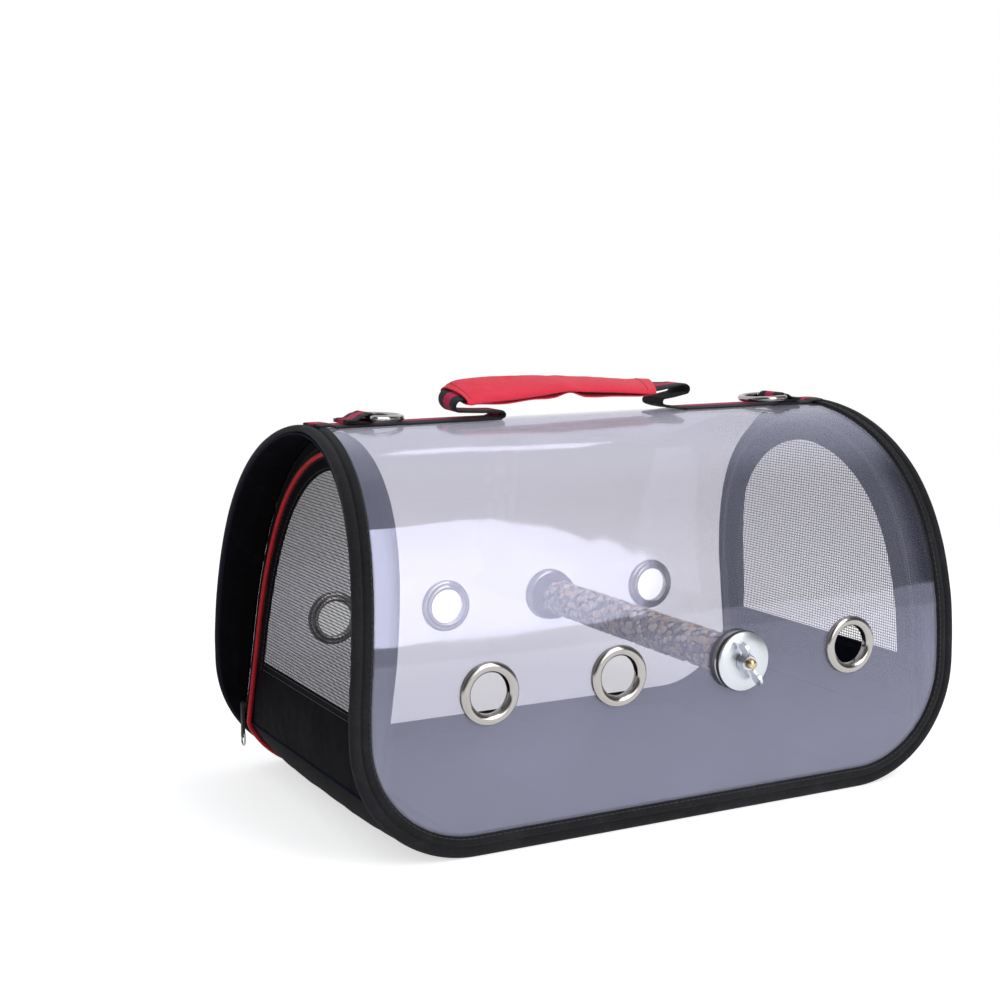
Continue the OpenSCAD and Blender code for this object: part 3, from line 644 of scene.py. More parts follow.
def upPlane(z, side):
    return (z - doors["hingeHeight"]) / cos(doors["lean"][side])


def onDoor(side, out, y, up):
    a = doors["lean"][side]
    return Vector((side * (doors["hingeX"] + out * cos(a) - up * sin(a)), y,
                   doors["hingeHeight"] + out * sin(a) + up * cos(a)))


def outOfDoor(side):
    return Vector((side * cos(doors["lean"][side]), 0, sin(doors["lean"][side])))


def zipPoint(s, depth, side):
    y, z = archAt(angleAt(zipTable, s), depth)
    return copysign(y, s), upPlane(z, side)


def halfWidth(up, depth, side):
    t = lastWhere(lambda t: upPlane(archAt(t, depth)[1], side) < up, 0.0, pi / 2)
    return archAt(t, depth)[0]


def doorPipe(side, share):
    s = (pathEnd - doors["pipeShort"]) * share
    return onDoor(side, doors["pipeOut"], *zipPoint(s, doors["frameDepth"] + doors["pipeInset"], side))


# Cloth bands between the rim and the zips, a little slack so that they crease

band = {"crease": 1.3 * mm, "inset": 1.5 * mm, "drop": 0.5 * mm, "cut": 38 * mm, "thick": 0.81 * mm}
bandTable = measured(tapeDepth, hingeAngle)
bandEnd = bandTable[-1][0]


def makeBand(side, name):
    def place(u, v):
        s = (2 * u - 1) * bandEnd
        t = angleAt(bandTable, s)
        slack = sin(pi * clamp(v * 1.02)) ** 0.7 * (1 - eased((v - 0.58) / 0.24))
        crease = wobble(s * 42 + side * 9, v * 1.3) + 0.5 * wobble(s * 110, v * 2.5, 4)
        depth = tapeDepth + band["drop"] * eased((v - 0.3) / 0.7)
        depth += band["crease"] * slack * (0.55 + 0.6 * crease)
        y, z = archAt(t, depth)
        rim = rimX(z) - band["inset"]
        x = rim + (planeX(z, side) - rim) * v
        return Vector((side * x, copysign(y, s), z))

    mesh = wrapGrid(300, 16, place, 2 * bandEnd, 0.03)
    addCloth(name + "_band", mesh, bandCloth, [name + "_gusset"],
             band["cut"], 2 * bandEnd, thickness=band["thick"])


# Cloth below each door, which swells out and rounds the corner down to the base

lower = {
    "low": 0.6 * mm, "gap": 0.4 * mm, "bulge": 6 * mm, "crease": 0.9 * mm, "cut": 86 * mm, "seam": 0.85 * mm,
    "pipeSeat": 1.5 * mm, "pipeStart": 0.05, "pipeRun": 0.64, "bendPull": 0.36,
}
panelHalf = carrier["halfDepth"] - tapeDepth
panelRise = carrier["corner"] - doors["hingeHeight"] + lower["gap"]
panelStart = atan2(panelRise, doors["hingeX"] - cornerX)
panelRadius = hypot(panelRise, doors["hingeX"] - cornerX)


def onPanel(side, y, share, extra=0.0, creased=True):
    a = panelStart + (pi / 2 - panelStart) * share
    swell = lower["bulge"] * (1 - (abs(y) / panelHalf) ** 4) * sin(pi * share)
    if creased:
        ripple = wobble(y, share * 0.03, side, 26) + 0.4 * wobble(y, share * 0.06, side + 3, 75)
        swell += lower["crease"] * sin(pi * share) * (1 - (abs(y) / panelHalf) ** 6) * ripple
    r = panelRadius + (carrier["corner"] - lower["low"] - panelRadius) * share + swell - extra
    z = max(carrier["corner"] - r * sin(a), lower["low"] / 2 + extra)
    return Vector((side * (cornerX + r * cos(a)), y, z))


def makeLower(side, name):
    mesh = wrapGrid(96, 40, lambda u, v: onPanel(side, (2 * u - 1) * panelHalf, v), 2 * panelHalf, 0.075)
    addCloth(name + "_lower_cloth", mesh, panelCloth, [name + "_corner_panel"],
             lower["cut"], 2 * panelHalf)
    # Piping down the far corner, thinned to its end, then the bend that joins it to the door's
    pipeY = archAt(hingeAngle, doors["frameDepth"] + doors["pipeInset"])[0]
    line = [onPanel(side, pipeY, lower["pipeStart"] + lower["pipeRun"] * i / 30, -lower["pipeSeat"], False)
            for i in range(31)]
    tube = sweep(line, lambda u: doors["pipe"] * (1 - 0.6 * eased((u - 0.93) / 0.07)))
    addPiece(name + "_lower_piping", tube, cordCloth, [name + "_corner_piping"])
    low, high = line[0], doorPipe(side, 1)
    reach = (high - low).length * lower["bendPull"]
    lowPull = low + (line[0] - line[2]).normalized() * reach
    highPull = high + (high - doorPipe(side, 0.97)).normalized() * reach
    bend = sweep(interpolate_bezier(low, lowPull, highPull, high, 17), doors["pipe"])
    piece = addPiece(name + "_fold_piping", bend, cordCloth, body=None)
    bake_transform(piece)
    seamHalf = archAt(hingeAngle, doors["zipDepth"] - 2 * mm)[0]
    seamX = side * (doors["hingeX"] - 0.2 * mm)
    seam = [Vector((seamX, seamHalf * w, doors["hingeHeight"])) for w in spread(80)]
    tube = sweep(seam, lambda u: lower["seam"] + 0.08 * mm * sin(u * 400), 10)
    addPiece(name + "_fold_seam", tube, bandCloth)


# Zips: a cloth tape on each side, and rows of small teeth that mesh

zips = {
    "pitch": 1.7 * mm, "tooth": (0.85 * mm, 2.5 * mm, 1.5 * mm), "toothIn": 0.75 * mm, "sink": 0.75 * mm,
    "rowEnd": pathEnd - 5 * mm, "runStart": pathEnd - 78 * mm, "opening": 1.25 * mm, "underTeeth": 1.4 * mm,
    "tapeOut": -0.55 * mm, "tapeThick": 0.6 * mm, "cut": 10 * mm,
}


def makeZip(side, name):
    normal = outOfDoor(side)
    for half, body, toward, back, tapeEnd in (
            ("body", "carrier", 1, tapeDepth + 0.8 * mm, pathEnd),
            ("door", name + "_door", -1, doors["frameDepth"], zips["rowEnd"])):
        edge = doors["zipDepth"] - toward * zips["underTeeth"]

        def place(u, v):
            s = (2 * u - 1) * tapeEnd
            past = eased((abs(s) - zips["rowEnd"] + 1.0 * mm) / (1.5 * mm))  # wider below the last teeth
            reach = (doors["frameDepth"] + 2.5 * mm - edge) * past
            out = zips["tapeOut"] - 1.1 * mm * past + 0.1 * mm * wobble(s, v * 0.01, side, 160)
            return onDoor(side, out, *zipPoint(s, back + (edge + reach - back) * v, side))

        mesh = wrapGrid(400, 4, place, 2 * tapeEnd, 0.008)
        zipName = name + "_zip_" + half
        ribbon = addPiece(zipName + "_tape", mesh, zipCloth, body=body)
        if half == "body":
            asSheet(ribbon, zips["cut"], 2 * pathEnd)
        thicken(ribbon, zips["tapeThick"], 0)
        bm = bmesh.new()
        count = int(zips["rowEnd"] / zips["pitch"])
        for k in range(-count, count):
            s = (k + (0 if toward > 0 else 0.5)) * zips["pitch"]
            opening = eased((s - zips["runStart"]) / (3 * mm)) * zips["opening"]
            depth = doors["zipDepth"] - toward * (zips["toothIn"] + opening)
            spot, deeper = (onDoor(side, -zips["sink"], *zipPoint(s, d, side))
                            for d in (depth, depth + 0.5 * mm))
            crossways = (deeper - spot).normalized()
            wide, long, high = zips["tooth"]
            addBlock(bm, spot, crossways.cross(normal) * wide, crossways * long, normal * high)
        addPiece(zipName + "_teeth", bm, toothPlastic, [zipName + "_half"], body)


# Doors: a cloth border and lower cloth round a net window, with red piping

def makeDoor(side, name):
    body = name + "_door"
    sillUp = upPlane(doors["sill"], side)
    hemUp = sillUp - doors["hem"]
    borderEnd = next(s for s in [pathEnd * (1 - i / 900) for i in range(900)]
                     if zipPoint(s, doors["frameDepth"], side)[1] > hemUp)

    def border(u, v):
        s = (2 * u - 1) * borderEnd
        puff = doors["puff"] * sin(pi * v) ** 0.6 * (1 + 0.7 * wobble(s, v * 0.02, side, 60))
        depth = doors["frameDepth"] + (doors["windowDepth"] - doors["frameDepth"]) * v
        return onDoor(side, puff - 0.3 * mm, *zipPoint(s, depth, side))

    window = halfWidth(sillUp, doors["windowDepth"], side)

    def hem(u, v):
        up = hemUp + (sillUp - hemUp) * v
        y = (2 * u - 1) * (halfWidth(up, doors["windowDepth"], side) + 1.5 * mm)
        puff = doors["puff"] * sin(pi * v) * (1 + 0.7 * wobble(y, v * 0.01, side, 60))
        return onDoor(side, puff - 0.2 * mm, y, up)

    def lowCloth(u, v):
        up = -0.1 * mm + (hemUp + 1.1 * mm) * v
        y = (2 * u - 1) * halfWidth(up, doors["frameDepth"], side)
        full = (1 - abs(2 * u - 1) ** 5) * sin(pi * clamp(v)) ** 0.8
        puff = doors["bulge"] * full * (1 + 0.5 * wobble(y, up, side, 30))
        return onDoor(side, puff + 0.3 * mm * wobble(y, up, side, 120) - 0.4 * mm, y, up)

    mesh = joined([wrapGrid(220, 8, border, 2 * borderEnd, 0.013), wrapGrid(80, 5, hem, 2 * window, 0.006)])
    addCloth(name + "_door_border", mesh, panelCloth, [name + "_door_frame"],
             doors["borderCut"], 2 * (borderEnd + window), body)
    mesh = wrapGrid(90, 24, lowCloth, 0.2, hemUp)
    addCloth(name + "_door_cloth", mesh, panelCloth, [name + "_door_panel"],
             2 * panelHalf, doors["clothCut"], body)

    paths = []
    for depth in (doors["windowDepth"] - 1.6 * mm, doors["frameDepth"] + 4.6 * mm):
        paths.append([onDoor(side, 0.35 * mm, *zipPoint(w * borderEnd, depth, side)) for w in spread(240)])
    for up in (sillUp - 1.4 * mm, hemUp + 1.0 * mm):
        half = halfWidth(up, doors["windowDepth"], side)
        paths.append([onDoor(side, 0.4 * mm, half * w, up) for w in spread(80)])
    seams = [stitches(path, doors["stitch"], lambda spot: outOfDoor(side)) for path in paths]
    addPiece(name + "_door_stitches", joined(seams), threadBlack, body=body)

    # Net of single bars, level and upright, up to the window's outline
    net = bmesh.new()
    plane = Matrix.Translation((side * doors["hingeX"], 0, doors["hingeHeight"])) @ Matrix.Rotation(
        -side * doors["lean"][side], 4, "Y")
    bar, pitch, depth = doors["netBar"][side], doors["netPitch"], doors["windowDepth"] - doors["netUnder"]

    def addBar(out, y, up, *size):
        spot = plane @ Matrix.Translation((side * out, y, up))
        bmesh.ops.create_cube(net, size=1, matrix=spot @ Matrix.Diagonal((bar * 0.7, *size, 1)))

    topUp = upPlane(archAt(pi / 2, doors["windowDepth"])[1], side)
    for i in range(int((topUp - sillUp) / pitch) + 1):
        up = sillUp - 0.5 * mm + i * pitch
        half = halfWidth(up, depth, side)
        if half > pitch:
            addBar(-0.95 * mm, 0, up, 2 * half, bar)
    outline = [zipPoint(pathEnd * i / 600, depth, side) for i in range(601)]
    reach = int(window / pitch) + 1
    for i in range(-reach, reach + 1):
        y = i * pitch
        high = max((p[1] for p in outline if p[0] >= abs(y)), default=0)
        if high > sillUp:
            low = sillUp - 1 * mm
            addBar(-0.7 * mm, y, (low + high) / 2, bar, high - low)
    addPiece(name + "_net", net, netYarn, [name + "_door_mesh"], body)

    tube = sweep([doorPipe(side, w) for w in spread(240)], doors["pipe"])
    addPiece(name + "_piping", tube, cordCloth, [name + "_door_piping"], body)


for side, name in sideName.items():
    makeBand(side, name)
    makeLower(side, name)
    makeZip(side, name)
    makeDoor(side, name)
    print(name, "end sewn")


# Floor of the carrier

floorBoard = {"gap": 5 * mm, "top": 4.6 * mm, "dip": 0.5 * mm, "thick": 2.6 * mm, "edge": 1.1 * mm}


def onBase(u, v):
    return Vector(((2 * u - 1) * cornerX, (2 * v - 1) * panelHalf, lower["low"] + carrier["clothThick"]))


def onBoard(u, v):
    x, y = (2 * u - 1) * cornerX, (2 * v - 1) * (panelHalf - floorBoard["gap"])
    return Vector((x, y, floorBoard["top"] + floorBoard["dip"] * wobble(x, y, 0, 14)))


baseMesh = wrapGrid(60, 40, onBase, 2 * cornerX, 2 * panelHalf)
addCloth("base_cloth", baseMesh, panelCloth, ["base_panel"], 2 * cornerX, 2 * panelHalf)
boardMesh = wrapGrid(70, 50, onBoard, 2 * cornerX, 2 * panelHalf)
board = addPiece("floor_board", boardMesh, boardCloth, ["base_board"])
thicken(board, floorBoard["thick"])
soften = board.modifiers.new("soften", "BEVEL")
soften.width, soften.segments = floorBoard["edge"], 3
print("floor laid")


# Eyelets: spun metal, a crowned rim outside and a curl over a washer inside

def facing(x, face, y):
    return Matrix.Translation((x, face * y, eyelets["height"])) @ Matrix.Rotation(-face * pi / 2, 4, "X")


sheetFace = carrier["halfDepth"] - sheetDepth
eyeletProfile = [
    (12.0, -2.5), (12.15, -2.8), (12.6, -3.0), (13.6, -3.1), (14.7, -2.9), (15.3, -2.5), (15.5, -2.0),
    (15.4, -1.85), (13.15, -1.8), (13.1, 0.0), (17.7, 0.0), (18.1, 0.2), (18.25, 0.6), (18.2, 1.1),
    (17.9, 1.7), (17.3, 2.2), (16.4, 2.55), (15.2, 2.7), (14.1, 2.55), (13.2, 2.2), (12.6, 1.7),
    (12.2, 1.0), (12.0, 0.3)]
washerProfile = [(13.2, -1.8), (17.4, -1.8), (17.6, -1.65), (17.6, -1.15), (17.4, -1.0), (13.2, -1.0)]
for face, word in ((-1, "front"), (1, "back")):
    for kind, node, profile, steps in (("_eyelet_rims", "_eyelets", eyeletProfile, 72),
                                       ("_eyelet_backs", "_eyelet_washers", washerProfile, 64)):
        turned = [spun(profile + profile[:1], steps, facing(x, face, sheetFace)) for x in eyelets["xs"]]
        addPiece(word + kind, joined(turned), nickel, [word + node])
print("eyelets set")


# Perch: a round bar coated with chips, clamped between two discs at each end

perch = {"x": 42 * mm, "half": 108.6 * mm, "radius": 11.3 * mm, "chip": 1.7 * mm, "perMetre": 215.0,
         "sink": 0.6 * mm, "taper": 1.2 * mm, "bow": 0.3 * mm, "widest": 12.45 * mm}


def chipAt(spot):
    near, seeds = noise.voronoi(spot * perch["perMetre"])
    edge = clamp(min((near[1] - near[0]) * 2.5, (0.70 - near[0]) * 3.2))
    return edge, 0.5 + 0.5 * noise.cell(seeds[0] * 7.3)


def onPerch(u, v):
    y = (2 * v - 1) * perch["half"]
    a = tau * u
    spot = Vector((perch["radius"] * cos(a), y, perch["radius"] * sin(a)))
    edge, _ = chipAt(spot)
    end = eased((perch["half"] - abs(y)) / (2.5 * mm))
    dome = perch["chip"] * sqrt(1 - (1 - edge) ** 2)
    r = perch["radius"] - perch["taper"] * (1 - end) + (dome - perch["sink"]) * end
    r = min(r + perch["bow"] * wobble(*spot, 45), perch["widest"])
    return Vector((perch["x"] + r * cos(a), y, eyelets["height"] + r * sin(a)))


coat = addPiece("perch_coat", capped(wrapGrid(150, 400, onPerch, 0.078, 0.217)), grit, ["perch"])
chips = coat.data.color_attributes.new("chips", "FLOAT_COLOR", "POINT")
for vert in coat.data.vertices:
    x, y, z = vert.co.x - perch["x"], vert.co.y, vert.co.z - eyelets["height"]
    out = perch["radius"] / max(1e-6, hypot(x, z))
    edge, pick = chipAt(Vector((x * out, y, z * out)))
    chips.data[vert.index].color = (clamp(pick), edge, 0, 1)


def perchRound(name, start, profile, material, stands, steps=64):
    profile = [(r, start + z) for r, z in profile]
    parts = [spun(profile, steps, facing(perch["x"], face, 0)) for face in (-1, 1)]
    addPiece(name, joined(parts), material, stands)


padFace = sheetFace / mm + 2.7
padProfile = [(3.1, 0), (18.0, 0), (18.4, 0.4), (18.4, 1.3), (18.0, 1.75), (3.1, 1.75), (3.1, 0)]
perchRound("perch_pads", padFace, padProfile, rubber, ["perch_outer_discs"])
discProfile = [
    (3.1, 0), (17.6, 0), (18.0, 0.3), (18.0, 1.2), (17.5, 1.58), (10.5, 1.5), (4.0, 1.58), (3.1, 1.4),
    (3.1, 0)]
perchRound("perch_washers", padFace + 1.8, discProfile, zinc, ["perch_outer_washers"], 80)
innerProfile = [(3.1, 0), (16.1, 0), (16.5, 0.45), (16.5, 3.7), (16.1, 4.1), (3.1, 4.1), (3.1, 0)]
perchRound("perch_inner_pads", 108.65, innerProfile, rubber, ["perch_inner_discs"])
studProfile = [(0.0, 0), (2.95, 0)]
for i in range(22):
    studProfile += [(2.95, 0.4 + i), (2.55, 0.9 + i)]
studProfile += [(2.9, 22.5), (2.5, 23.4), (0.0, 23.4)]
perchRound("perch_threads", 108.0, studProfile, brass, ["perch_studs"], 32)
print("perch hung")


# Webbing along the ridge, sewn down

strap = {"width": 25 * mm, "thick": 1.5 * mm, "outer": 184 * mm, "inner": {-1: 63 * mm, 1: 72 * mm}}
strapTop = carrier["ridge"] - sheetDepth + strap["thick"]


def ridgeDrop(y):
    t = lastWhere(lambda t: archAt(t, 0)[0] > abs(y), 0.2, pi / 2, 40)
    return carrier["ridge"] - archAt(t, 0)[1]


drops = {i: ridgeDrop(12.5 * mm * i / 10) for i in range(11)}


def strapSection(width, thick, count=12):
    rows = []
    for i in range(count + 1):
        y = 2 * i / count - 1
        rows.append((y * width / 2, thick / 2 * (1 - 0.75 * abs(y) ** 14)))
    return rows + [(y, -n) for y, n in reversed(rows)]


def strapAlong(path, width, thick, hug=False, twist=None):
    section = strapSection(width, thick, 20 if hug else 12)
    count = len(path) - 1
    along = lengthsAlong(path)
    frames = []
    for i in range(len(path)):
        ahead = Vector(path[min(i + 1, count)]) - Vector(path[max(i - 1, 0)])
        ahead.normalize()
        frames.append((-ahead.y, ahead.x))

    def place(u, v):
        i = round(u * count)
        y, n = section[round(v * len(section)) % len(section)]
        if twist:
            return twist(path[i][0], y, n)
        drop = drops[min(10, round(abs(y) / (1.25 * mm)))] if hug else 0
        return Vector((path[i][0] + frames[i][0] * n, y, path[i][1] + frames[i][1] * n - drop))

    def cloth(u, v):
        i = round(u * count)
        y = section[min(len(section) - 1, round(v * len(section)))][0]
        return along[i], y + width / 2

    return capped(wrapGrid(count, len(section), place, paint=cloth))


def arc(x, z, r, start, end, steps=14):
    return [(x + r * cos(a), z + r * sin(a))
            for a in [radians(start + (end - start) * i / steps) for i in range(steps + 1)]]


for side, word in sideName.items():
    edge = carrier["ridgeHalf"] - carrier["tapeWidth"]
    path = []
    for i in range(61):
        x = strap["inner"][side] + (strap["outer"] - strap["inner"][side]) * i / 60
        lift = sheetDepth * eased((x - edge + 3 * mm) / (3 * mm))
        path.append((side * x, strapTop + lift - strap["thick"] / 2 + 0.05 * mm * wobble(x, 0, side, 120)))
    mesh = strapAlong(path, strap["width"], strap["thick"], hug=True)
    addPiece(word + "_ridge_strap", mesh, webbing, [word + "_ridge_webbing"])

# Loops that hold the metal rings

rings = {
    "barX": 150 * mm, "wire": 1.9 * mm, "loopThick": 1.2 * mm, "loopEnd": 165 * mm, "loopWidth": 24 * mm,
    "box": [(153.5, -10), (163.5, -10), (163.5, 10), (153.5, 10), (153.5, -10)],
    "stitch": (1.9 * mm, 0.8 * mm, 0.4 * mm),
}
barZ = strapTop + rings["loopThick"] + rings["wire"] + 0.1 * mm
for side, word in sideName.items():
    path = [(rings["loopEnd"], strapTop + 1.75 * mm), (rings["barX"] + 9 * mm, strapTop + 2.1 * mm),
            (rings["barX"] + 5 * mm, barZ + 1.2 * mm)]
    path += arc(rings["barX"], barZ, rings["wire"] + 0.1 * mm + rings["loopThick"] / 2, 50, 270)
    path += [(rings["barX"] + 5 * mm, strapTop + 0.7 * mm), (rings["loopEnd"], strapTop + 0.65 * mm)]
    mesh = strapAlong([(side * x, z) for x, z in path], rings["loopWidth"], rings["loopThick"])
    addPiece(word + "_ring_strap", mesh, webbing, [word + "_ring_loop"])
    box = [Vector((side * x * mm, y * mm, 0)) for x, y in rings["box"]]
    line = [a.lerp(b, i / 12) for a, b in zip(box, box[1:]) for i in range(12)]
    for spot in line:
        spot.z = strapTop + 2.45 * mm + (0.9 * mm if abs(spot.x) < 157 * mm else 0.0)
    thread = stitches(line, rings["stitch"], lambda spot: Vector((0, 0, 1)))
    addPiece(word + "_ring_stitches", thread, threadBlack)
print("straps sewn")


# Handle: webbing that folds up from the ridge, arches and folds down again

handle = {
    "left": (-90 * mm, 245.5 * mm, 4.6 * mm), "right": (71.5 * mm, 248 * mm, 3.0 * mm),
    "tilt": radians(22), "gripLeft": -89 * mm, "gripLength": 137 * mm,
    "arch": [(0, 0), (0.06, 1.6), (0.12, 2.2), (0.27, 3.0), (0.36, 3.5), (0.45, 3.8), (0.54, 2.6), (0.64, 1.5),
             (0.73, 0.35), (0.83, -1.0), (0.92, -0.6), (1, 0)],
    "tiltShare": [(0, 1), (0.17, 0.98), (0.27, 0.86), (0.36, 0.7), (0.45, 0.52), (1, 0.45)],
}
strapMid = strapTop - strap["thick"] / 2


def smoothPath(points, steps):
    spots = [Vector((x, 0, z)) for x, z in points]
    out = []
    for i in range(len(spots) - 1):
        a, b = spots[max(i - 1, 0)], spots[i]
        c, d = spots[i + 1], spots[min(i + 2, len(spots) - 1)]
        for k in range(steps):
            t = k / steps
            p = 0.5 * (2 * b + (c - a) * t + (2 * a - 5 * b + 4 * c - d) * t * t
                       + (3 * b - a - 3 * c + d) * t ** 3)
            out.append((p.x, p.z))
    out.append((spots[-1].x, spots[-1].z))
    return out


def onCurve(table, u):
    u = clamp(u)
    i = max(k for k in range(len(table) - 1) if table[k][0] <= u)
    (ua, a), (ub, b) = table[i], table[i + 1]
    before, beyond = table[max(i - 1, 0)], table[min(i + 2, len(table) - 1)]
    slopeA = (b - before[1]) / (ub - before[0]) * (ub - ua)
    slopeB = (beyond[1] - a) / (beyond[0] - ua) * (ub - ua)
    t = (u - ua) / (ub - ua)
    return ((2 * t ** 3 - 3 * t ** 2 + 1) * a + (t ** 3 - 2 * t ** 2 + t) * slopeA
            + (3 * t ** 2 - 2 * t ** 3) * b + (t ** 3 - t ** 2) * slopeB)


def makeFold(word, path, roll, cloth):
    bm = strapAlong(path, strap["width"], strap["thick"])
    for vert in bm.verts:
        i = min(range(len(path)), key=lambda k: dist(path[k], (vert.co.x, vert.co.z)))
        pivot = Vector((0, 0, path[i][1]))
        turn = Matrix.Rotation(roll * eased(i / (len(path) - 1) * 1.6 - 0.6), 4, "X")
        vert.co = pivot + turn @ (vert.co - pivot)
    piece = addPiece(word + "_fold", bm, cloth, [word + "_handle_fold"], None)
    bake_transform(piece)


run = 0.4 * mm  # level run at a fold's end
handleLeft, leftZ = handle["left"][0] + run, handle["left"][1] + handle["left"][2]
handleRight, rightZ = handle["right"][0] - run, handle["right"][1] + handle["right"][2]


def handleZ(x):
    u = (x - handleLeft) / (handleRight - handleLeft)
    return leftZ + (rightZ - leftZ) * u + onCurve(handle["arch"], u) * mm


def handleRoll(x):
    u = (x - handleLeft) / (handleRight - handleLeft)
    return (handle["tilt"] * onCurve(handle["tiltShare"], u) * eased((x - handleLeft) / (14 * mm) + 0.55)
            * eased((handleRight - x) / (24 * mm)))


# Each fold leaves the ridge, turns back on itself and turns once more into the handle
leftFold = [(-strap["inner"][-1], strapMid)] + arc(run - strap["inner"][-1], strapMid + 2 * mm, 2 * mm, -90, 90)
leftFold += [(-76 * mm, strapMid + 4.4 * mm)] + arc(*handle["left"], 270, 90) + [(handleLeft, leftZ)]
rightFold = [(72 * mm, strapMid), (71.6 * mm, strapMid), (68 * mm, strapMid + 0.1 * mm), (60 * mm, 237 * mm)]
rightFold += arc(56 * mm, 240.4 * mm, 2.2 * mm, 270, 90) + [(64 * mm, 243.6 * mm)]
rightFold += arc(*handle["right"], -90, 90) + [(handleRight, rightZ)]
makeFold("left", smoothPath(leftFold, 2), handleRoll(handleLeft), webbing)
makeFold("right", smoothPath(rightFold, 2), handleRoll(handleRight), plainWebbing)


def onHandle(x, v, w):
    a = handleRoll(x)
    return Vector((x, v * cos(a) - w * sin(a), handleZ(x) + v * sin(a) + w * cos(a)))


handleLine = [(handleLeft + (handleRight - handleLeft) * i / 90, 0) for i in range(91)]
handleMesh = strapAlong(handleLine, strap["width"], strap["thick"], twist=onHandle)
addPiece("handle_strap", handleMesh, webbing, ["handle_webbing"], "handle")


# Red wrap: cloth folded round the webbing, whose free edge hangs below in two scallops

wrap = {
    "crease": 0.4, "slant": (4 * mm, 12 * mm), "pinch": 0.16, "cut": 78 * mm, "thick": 1.0 * mm,
    "seam": 3.2 * mm, "stitch": (2.2 * mm, 1.0 * mm, 0.4 * mm),
    "lobes": [(0, 0), (0.06, 0.3), (0.2, 0.85), (0.34, 0.7), (0.46, 1.0), (0.535, 0.3), (0.56, 0.3),
              (0.63, 1.0), (0.78, 0.75), (0.92, 0.5), (1, 0)],
}


def hanging(u):
    return clamp(onCurve(wrap["lobes"], u))


# Round the webbing in millimetres: across, out of it, and how far the free edge hangs below
wrapRound = [
    (-12.4, -1.5, 3.2), (-9.0, -1.8, 2.8), (-3.0, -1.9, 2.2), (4.0, -2.0, 1.7), (10.0, -2.3, 1.0),
    (13.3, -2.4, 0.4), (14.9, -1.3, 0), (15.1, 0.0, 0), (14.6, 0.9, 0), (13.4, 1.6, 0), (11.0, 2.3, 0),
    (7.0, 2.8, 0), (0, 3.1, 0), (-7.0, 2.85, 0), (-11.0, 2.4, 0), (-13.6, 1.7, 0), (-14.9, 0.8, 0),
    (-15.3, -0.3, 0), (-15.0, -0.9, 0)]
wrapSection = smoothPath([(a, b) for a, b, _ in wrapRound], 3)
wrapDrop = [wrapRound[min(i // 3, len(wrapRound) - 1)][2] for i in range(len(wrapSection))]


def onWrap(u, v):
    i = round(v * (len(wrapSection) - 1))
    a, b = wrapSection[i]
    across = 0.5 + a / 31
    x = handle["gripLeft"] + 1 * mm + (handle["gripLength"] - 2 * mm) * u
    x += (wrap["slant"][1] * u ** 8 - wrap["slant"][0] * (1 - u) ** 8) * across
    ends = eased(1 - u / 0.04) + eased(1 - (1 - u) / 0.05)
    pinch = 1 - wrap["pinch"] * ends * (1 if b > 0.9 else 0)
    crease = wrap["crease"] * (wobble(x * 45, a * 0.16, 3) + 0.5 * wobble(x * 160, a * 0.25, 8))
    valley = 0.5 * exp(-((x + 14 * mm + a * 0.4 * mm) / (5 * mm)) ** 2)  # slanting dent near the middle
    lift = clamp((b + 0.6) / 2)
    spot = onHandle(x, a * mm, (0.75 + (b - 0.75) * pinch + (crease - valley) * lift) * mm)
    spot.z -= wrapDrop[i] * hanging(u) * mm
    return spot


wrapMesh = wrapGrid(160, len(wrapSection) - 1, onWrap, handle["gripLength"], 0.075)
grip = addPiece("handle_wrap", wrapMesh, wrapCloth, ["handle_grip"], "handle")
asSheet(grip, handle["gripLength"], wrap["cut"])
thicken(grip, wrap["thick"], 0)
smoother(grip)
seams = []
for end in (wrap["seam"], handle["gripLength"] - 2 * wrap["seam"]):
    share = end / handle["gripLength"]
    path = [onWrap(share, 0.30 + 0.64 * i / 40) + Vector((0, 0, 0.55 * mm)) for i in range(41)]
    seams.append(stitches(path, wrap["stitch"], lambda spot: Vector((0, -0.3, 1))))
addPiece("wrap_stitches", joined(seams), threadRed, body="handle")
print("handle wrapped")


# CAD pieces that keep their own shape

kept = {"front_wing_nut": zinc, "back_wing_nut": zinc}
for word in sideName.values():
    kept |= {word + "_d_ring": nickel, word + "_zip_slider": enamel, word + "_zip_pull": rubber,
             word + "_zip_pull_end": nickel}
for node, material in kept.items():
    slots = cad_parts[node].data.materials
    slots.clear()
    slots.append(material)
print("metal parts finished")


# Stage: a white floor that fades to white, a white world and soft lamps

stage = {
    "floorTone": 0.8, "floorGlow": 0.62, "fadeFrom": 0.6, "fadeTo": 1.3, "floorSize": 30,
    "ambient": 0.6, "dimRoom": 0.14, "paleWall": 0.75, "softbox": 20, "strip": 0.24,
}


def floorFinish():
    sh = Shader("stageFloor")
    away = sh.node("VectorMath", {"operation": "LENGTH"}, {0: sh.place()}, "Value")
    direct, mirrored, through = sh.rays()
    seen = direct.maths("MAXIMUM", mirrored).maths("MAXIMUM", through)
    far = away.rise(stage["fadeFrom"], stage["fadeTo"])
    tone, shine = stage["floorTone"], stage["floorGlow"]
    matte = sh.surface(
        Base_Color=(tone, tone, tone), Roughness=0.9, Specular_IOR_Level=0.1,
        Emission_Color=sh.mix(seen, (0.0, 0.0, 0.0), (shine, shine, shine)), Emission_Strength=1.0)
    glow = sh.node("Emission", values={"Color": (1.0, 1.0, 1.0), "Strength": 1.0})
    return sh.finish(sh.node("MixShader", values={0: far * seen, 1: matte, 2: glow}))


floorMesh = bmesh.new()
bmesh.ops.create_grid(floorMesh, x_segments=1, y_segments=1, size=stage["floorSize"])
floor = newObject("stage_floor", floorMesh, floorFinish())

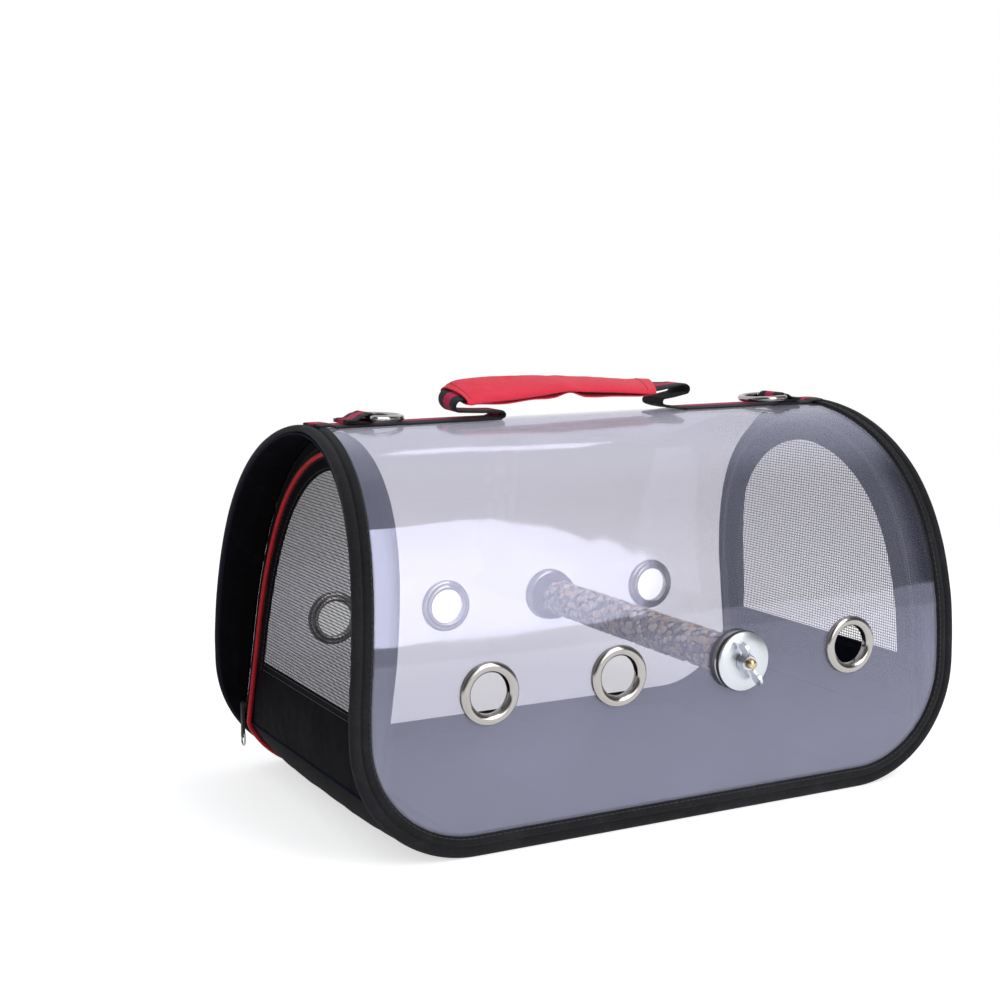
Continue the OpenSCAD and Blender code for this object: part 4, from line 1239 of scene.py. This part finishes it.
# What is seen behind the object is white; mirrors find the room dimmer on the camera's side
world = bpy.data.worlds.new("studio")
bpy.context.scene.world = world
sky = Shader("studio", world)
seen, mirrored, through = sky.rays()
rightward, forward = sky.parts(sky.node("TexCoord", output="Generated"))
paleWall = (1 - rightward.above(0.49, 0.15)) * rightward.above(-0.1, 0.2) * (1 - forward.above(-0.1, 0.25))
roomTone = forward.above(-0.05, 0.3) * (1 - stage["dimRoom"]) + paleWall * stage["paleWall"] + stage["dimRoom"]
ambient = sky.node("Background", values={"Color": (0.95, 0.97, 1.0), "Strength": stage["ambient"]})
room = sky.node("Background", values={"Color": (0.97, 0.98, 1.0), "Strength": roomTone})
white = sky.node("Background", values={"Color": (1.0, 1.0, 1.0), "Strength": 1.0})
indirect = sky.node("MixShader", values={0: mirrored, 1: ambient, 2: room})
sky.node("OutputWorld", values={
    "Surface": sky.node("MixShader", values={0: seen.maths("MAXIMUM", through), 1: indirect, 2: white})})


def addLamp(name, place, target, size, power):
    data = bpy.data.lights.new(name, "AREA")
    data.shape, data.size, data.size_y, data.energy = "RECTANGLE", size[0], size[1], power
    lamp = addObject(name, data)
    lamp.visible_camera = False
    lamp.location = place
    lamp.rotation_mode = "QUATERNION"
    lamp.rotation_quaternion = (Vector(target) - Vector(place)).to_track_quat("-Z", "Y")


addLamp("softbox", (0.52, -1.7, 1.0), (0, 0, 0.12), (0.95, 1.95), stage["softbox"])
addLamp("stripLamp", (0.596, 0.637, 1.36), (0.246, 0.03, 0.2), (0.33, 0.1), stage["strip"])

cameraSetup = {
    "place": (-0.54165, -0.93573, 0.32956), "yaw": 27.3, "pitch": 7.93, "roll": -0.4,
    "lens": 61.04, "sensor": 36}
yaw, pitch, roll = (radians(cameraSetup[k]) for k in ("yaw", "pitch", "roll"))
cameraData = bpy.data.cameras.new("camera")
cameraData.lens, cameraData.sensor_width = cameraSetup["lens"], cameraSetup["sensor"]
camera = addObject("camera", cameraData)
camera.matrix_world = (
    Matrix.Translation(cameraSetup["place"]) @ Matrix.Rotation(-yaw, 4, "Z")
    @ Matrix.Rotation(pi / 2 - pitch, 4, "X") @ Matrix.Rotation(roll, 4, "Z"))
bpy.context.scene.camera = camera
bpy.context.scene.view_settings.view_transform = "Standard"
print("stage lit")
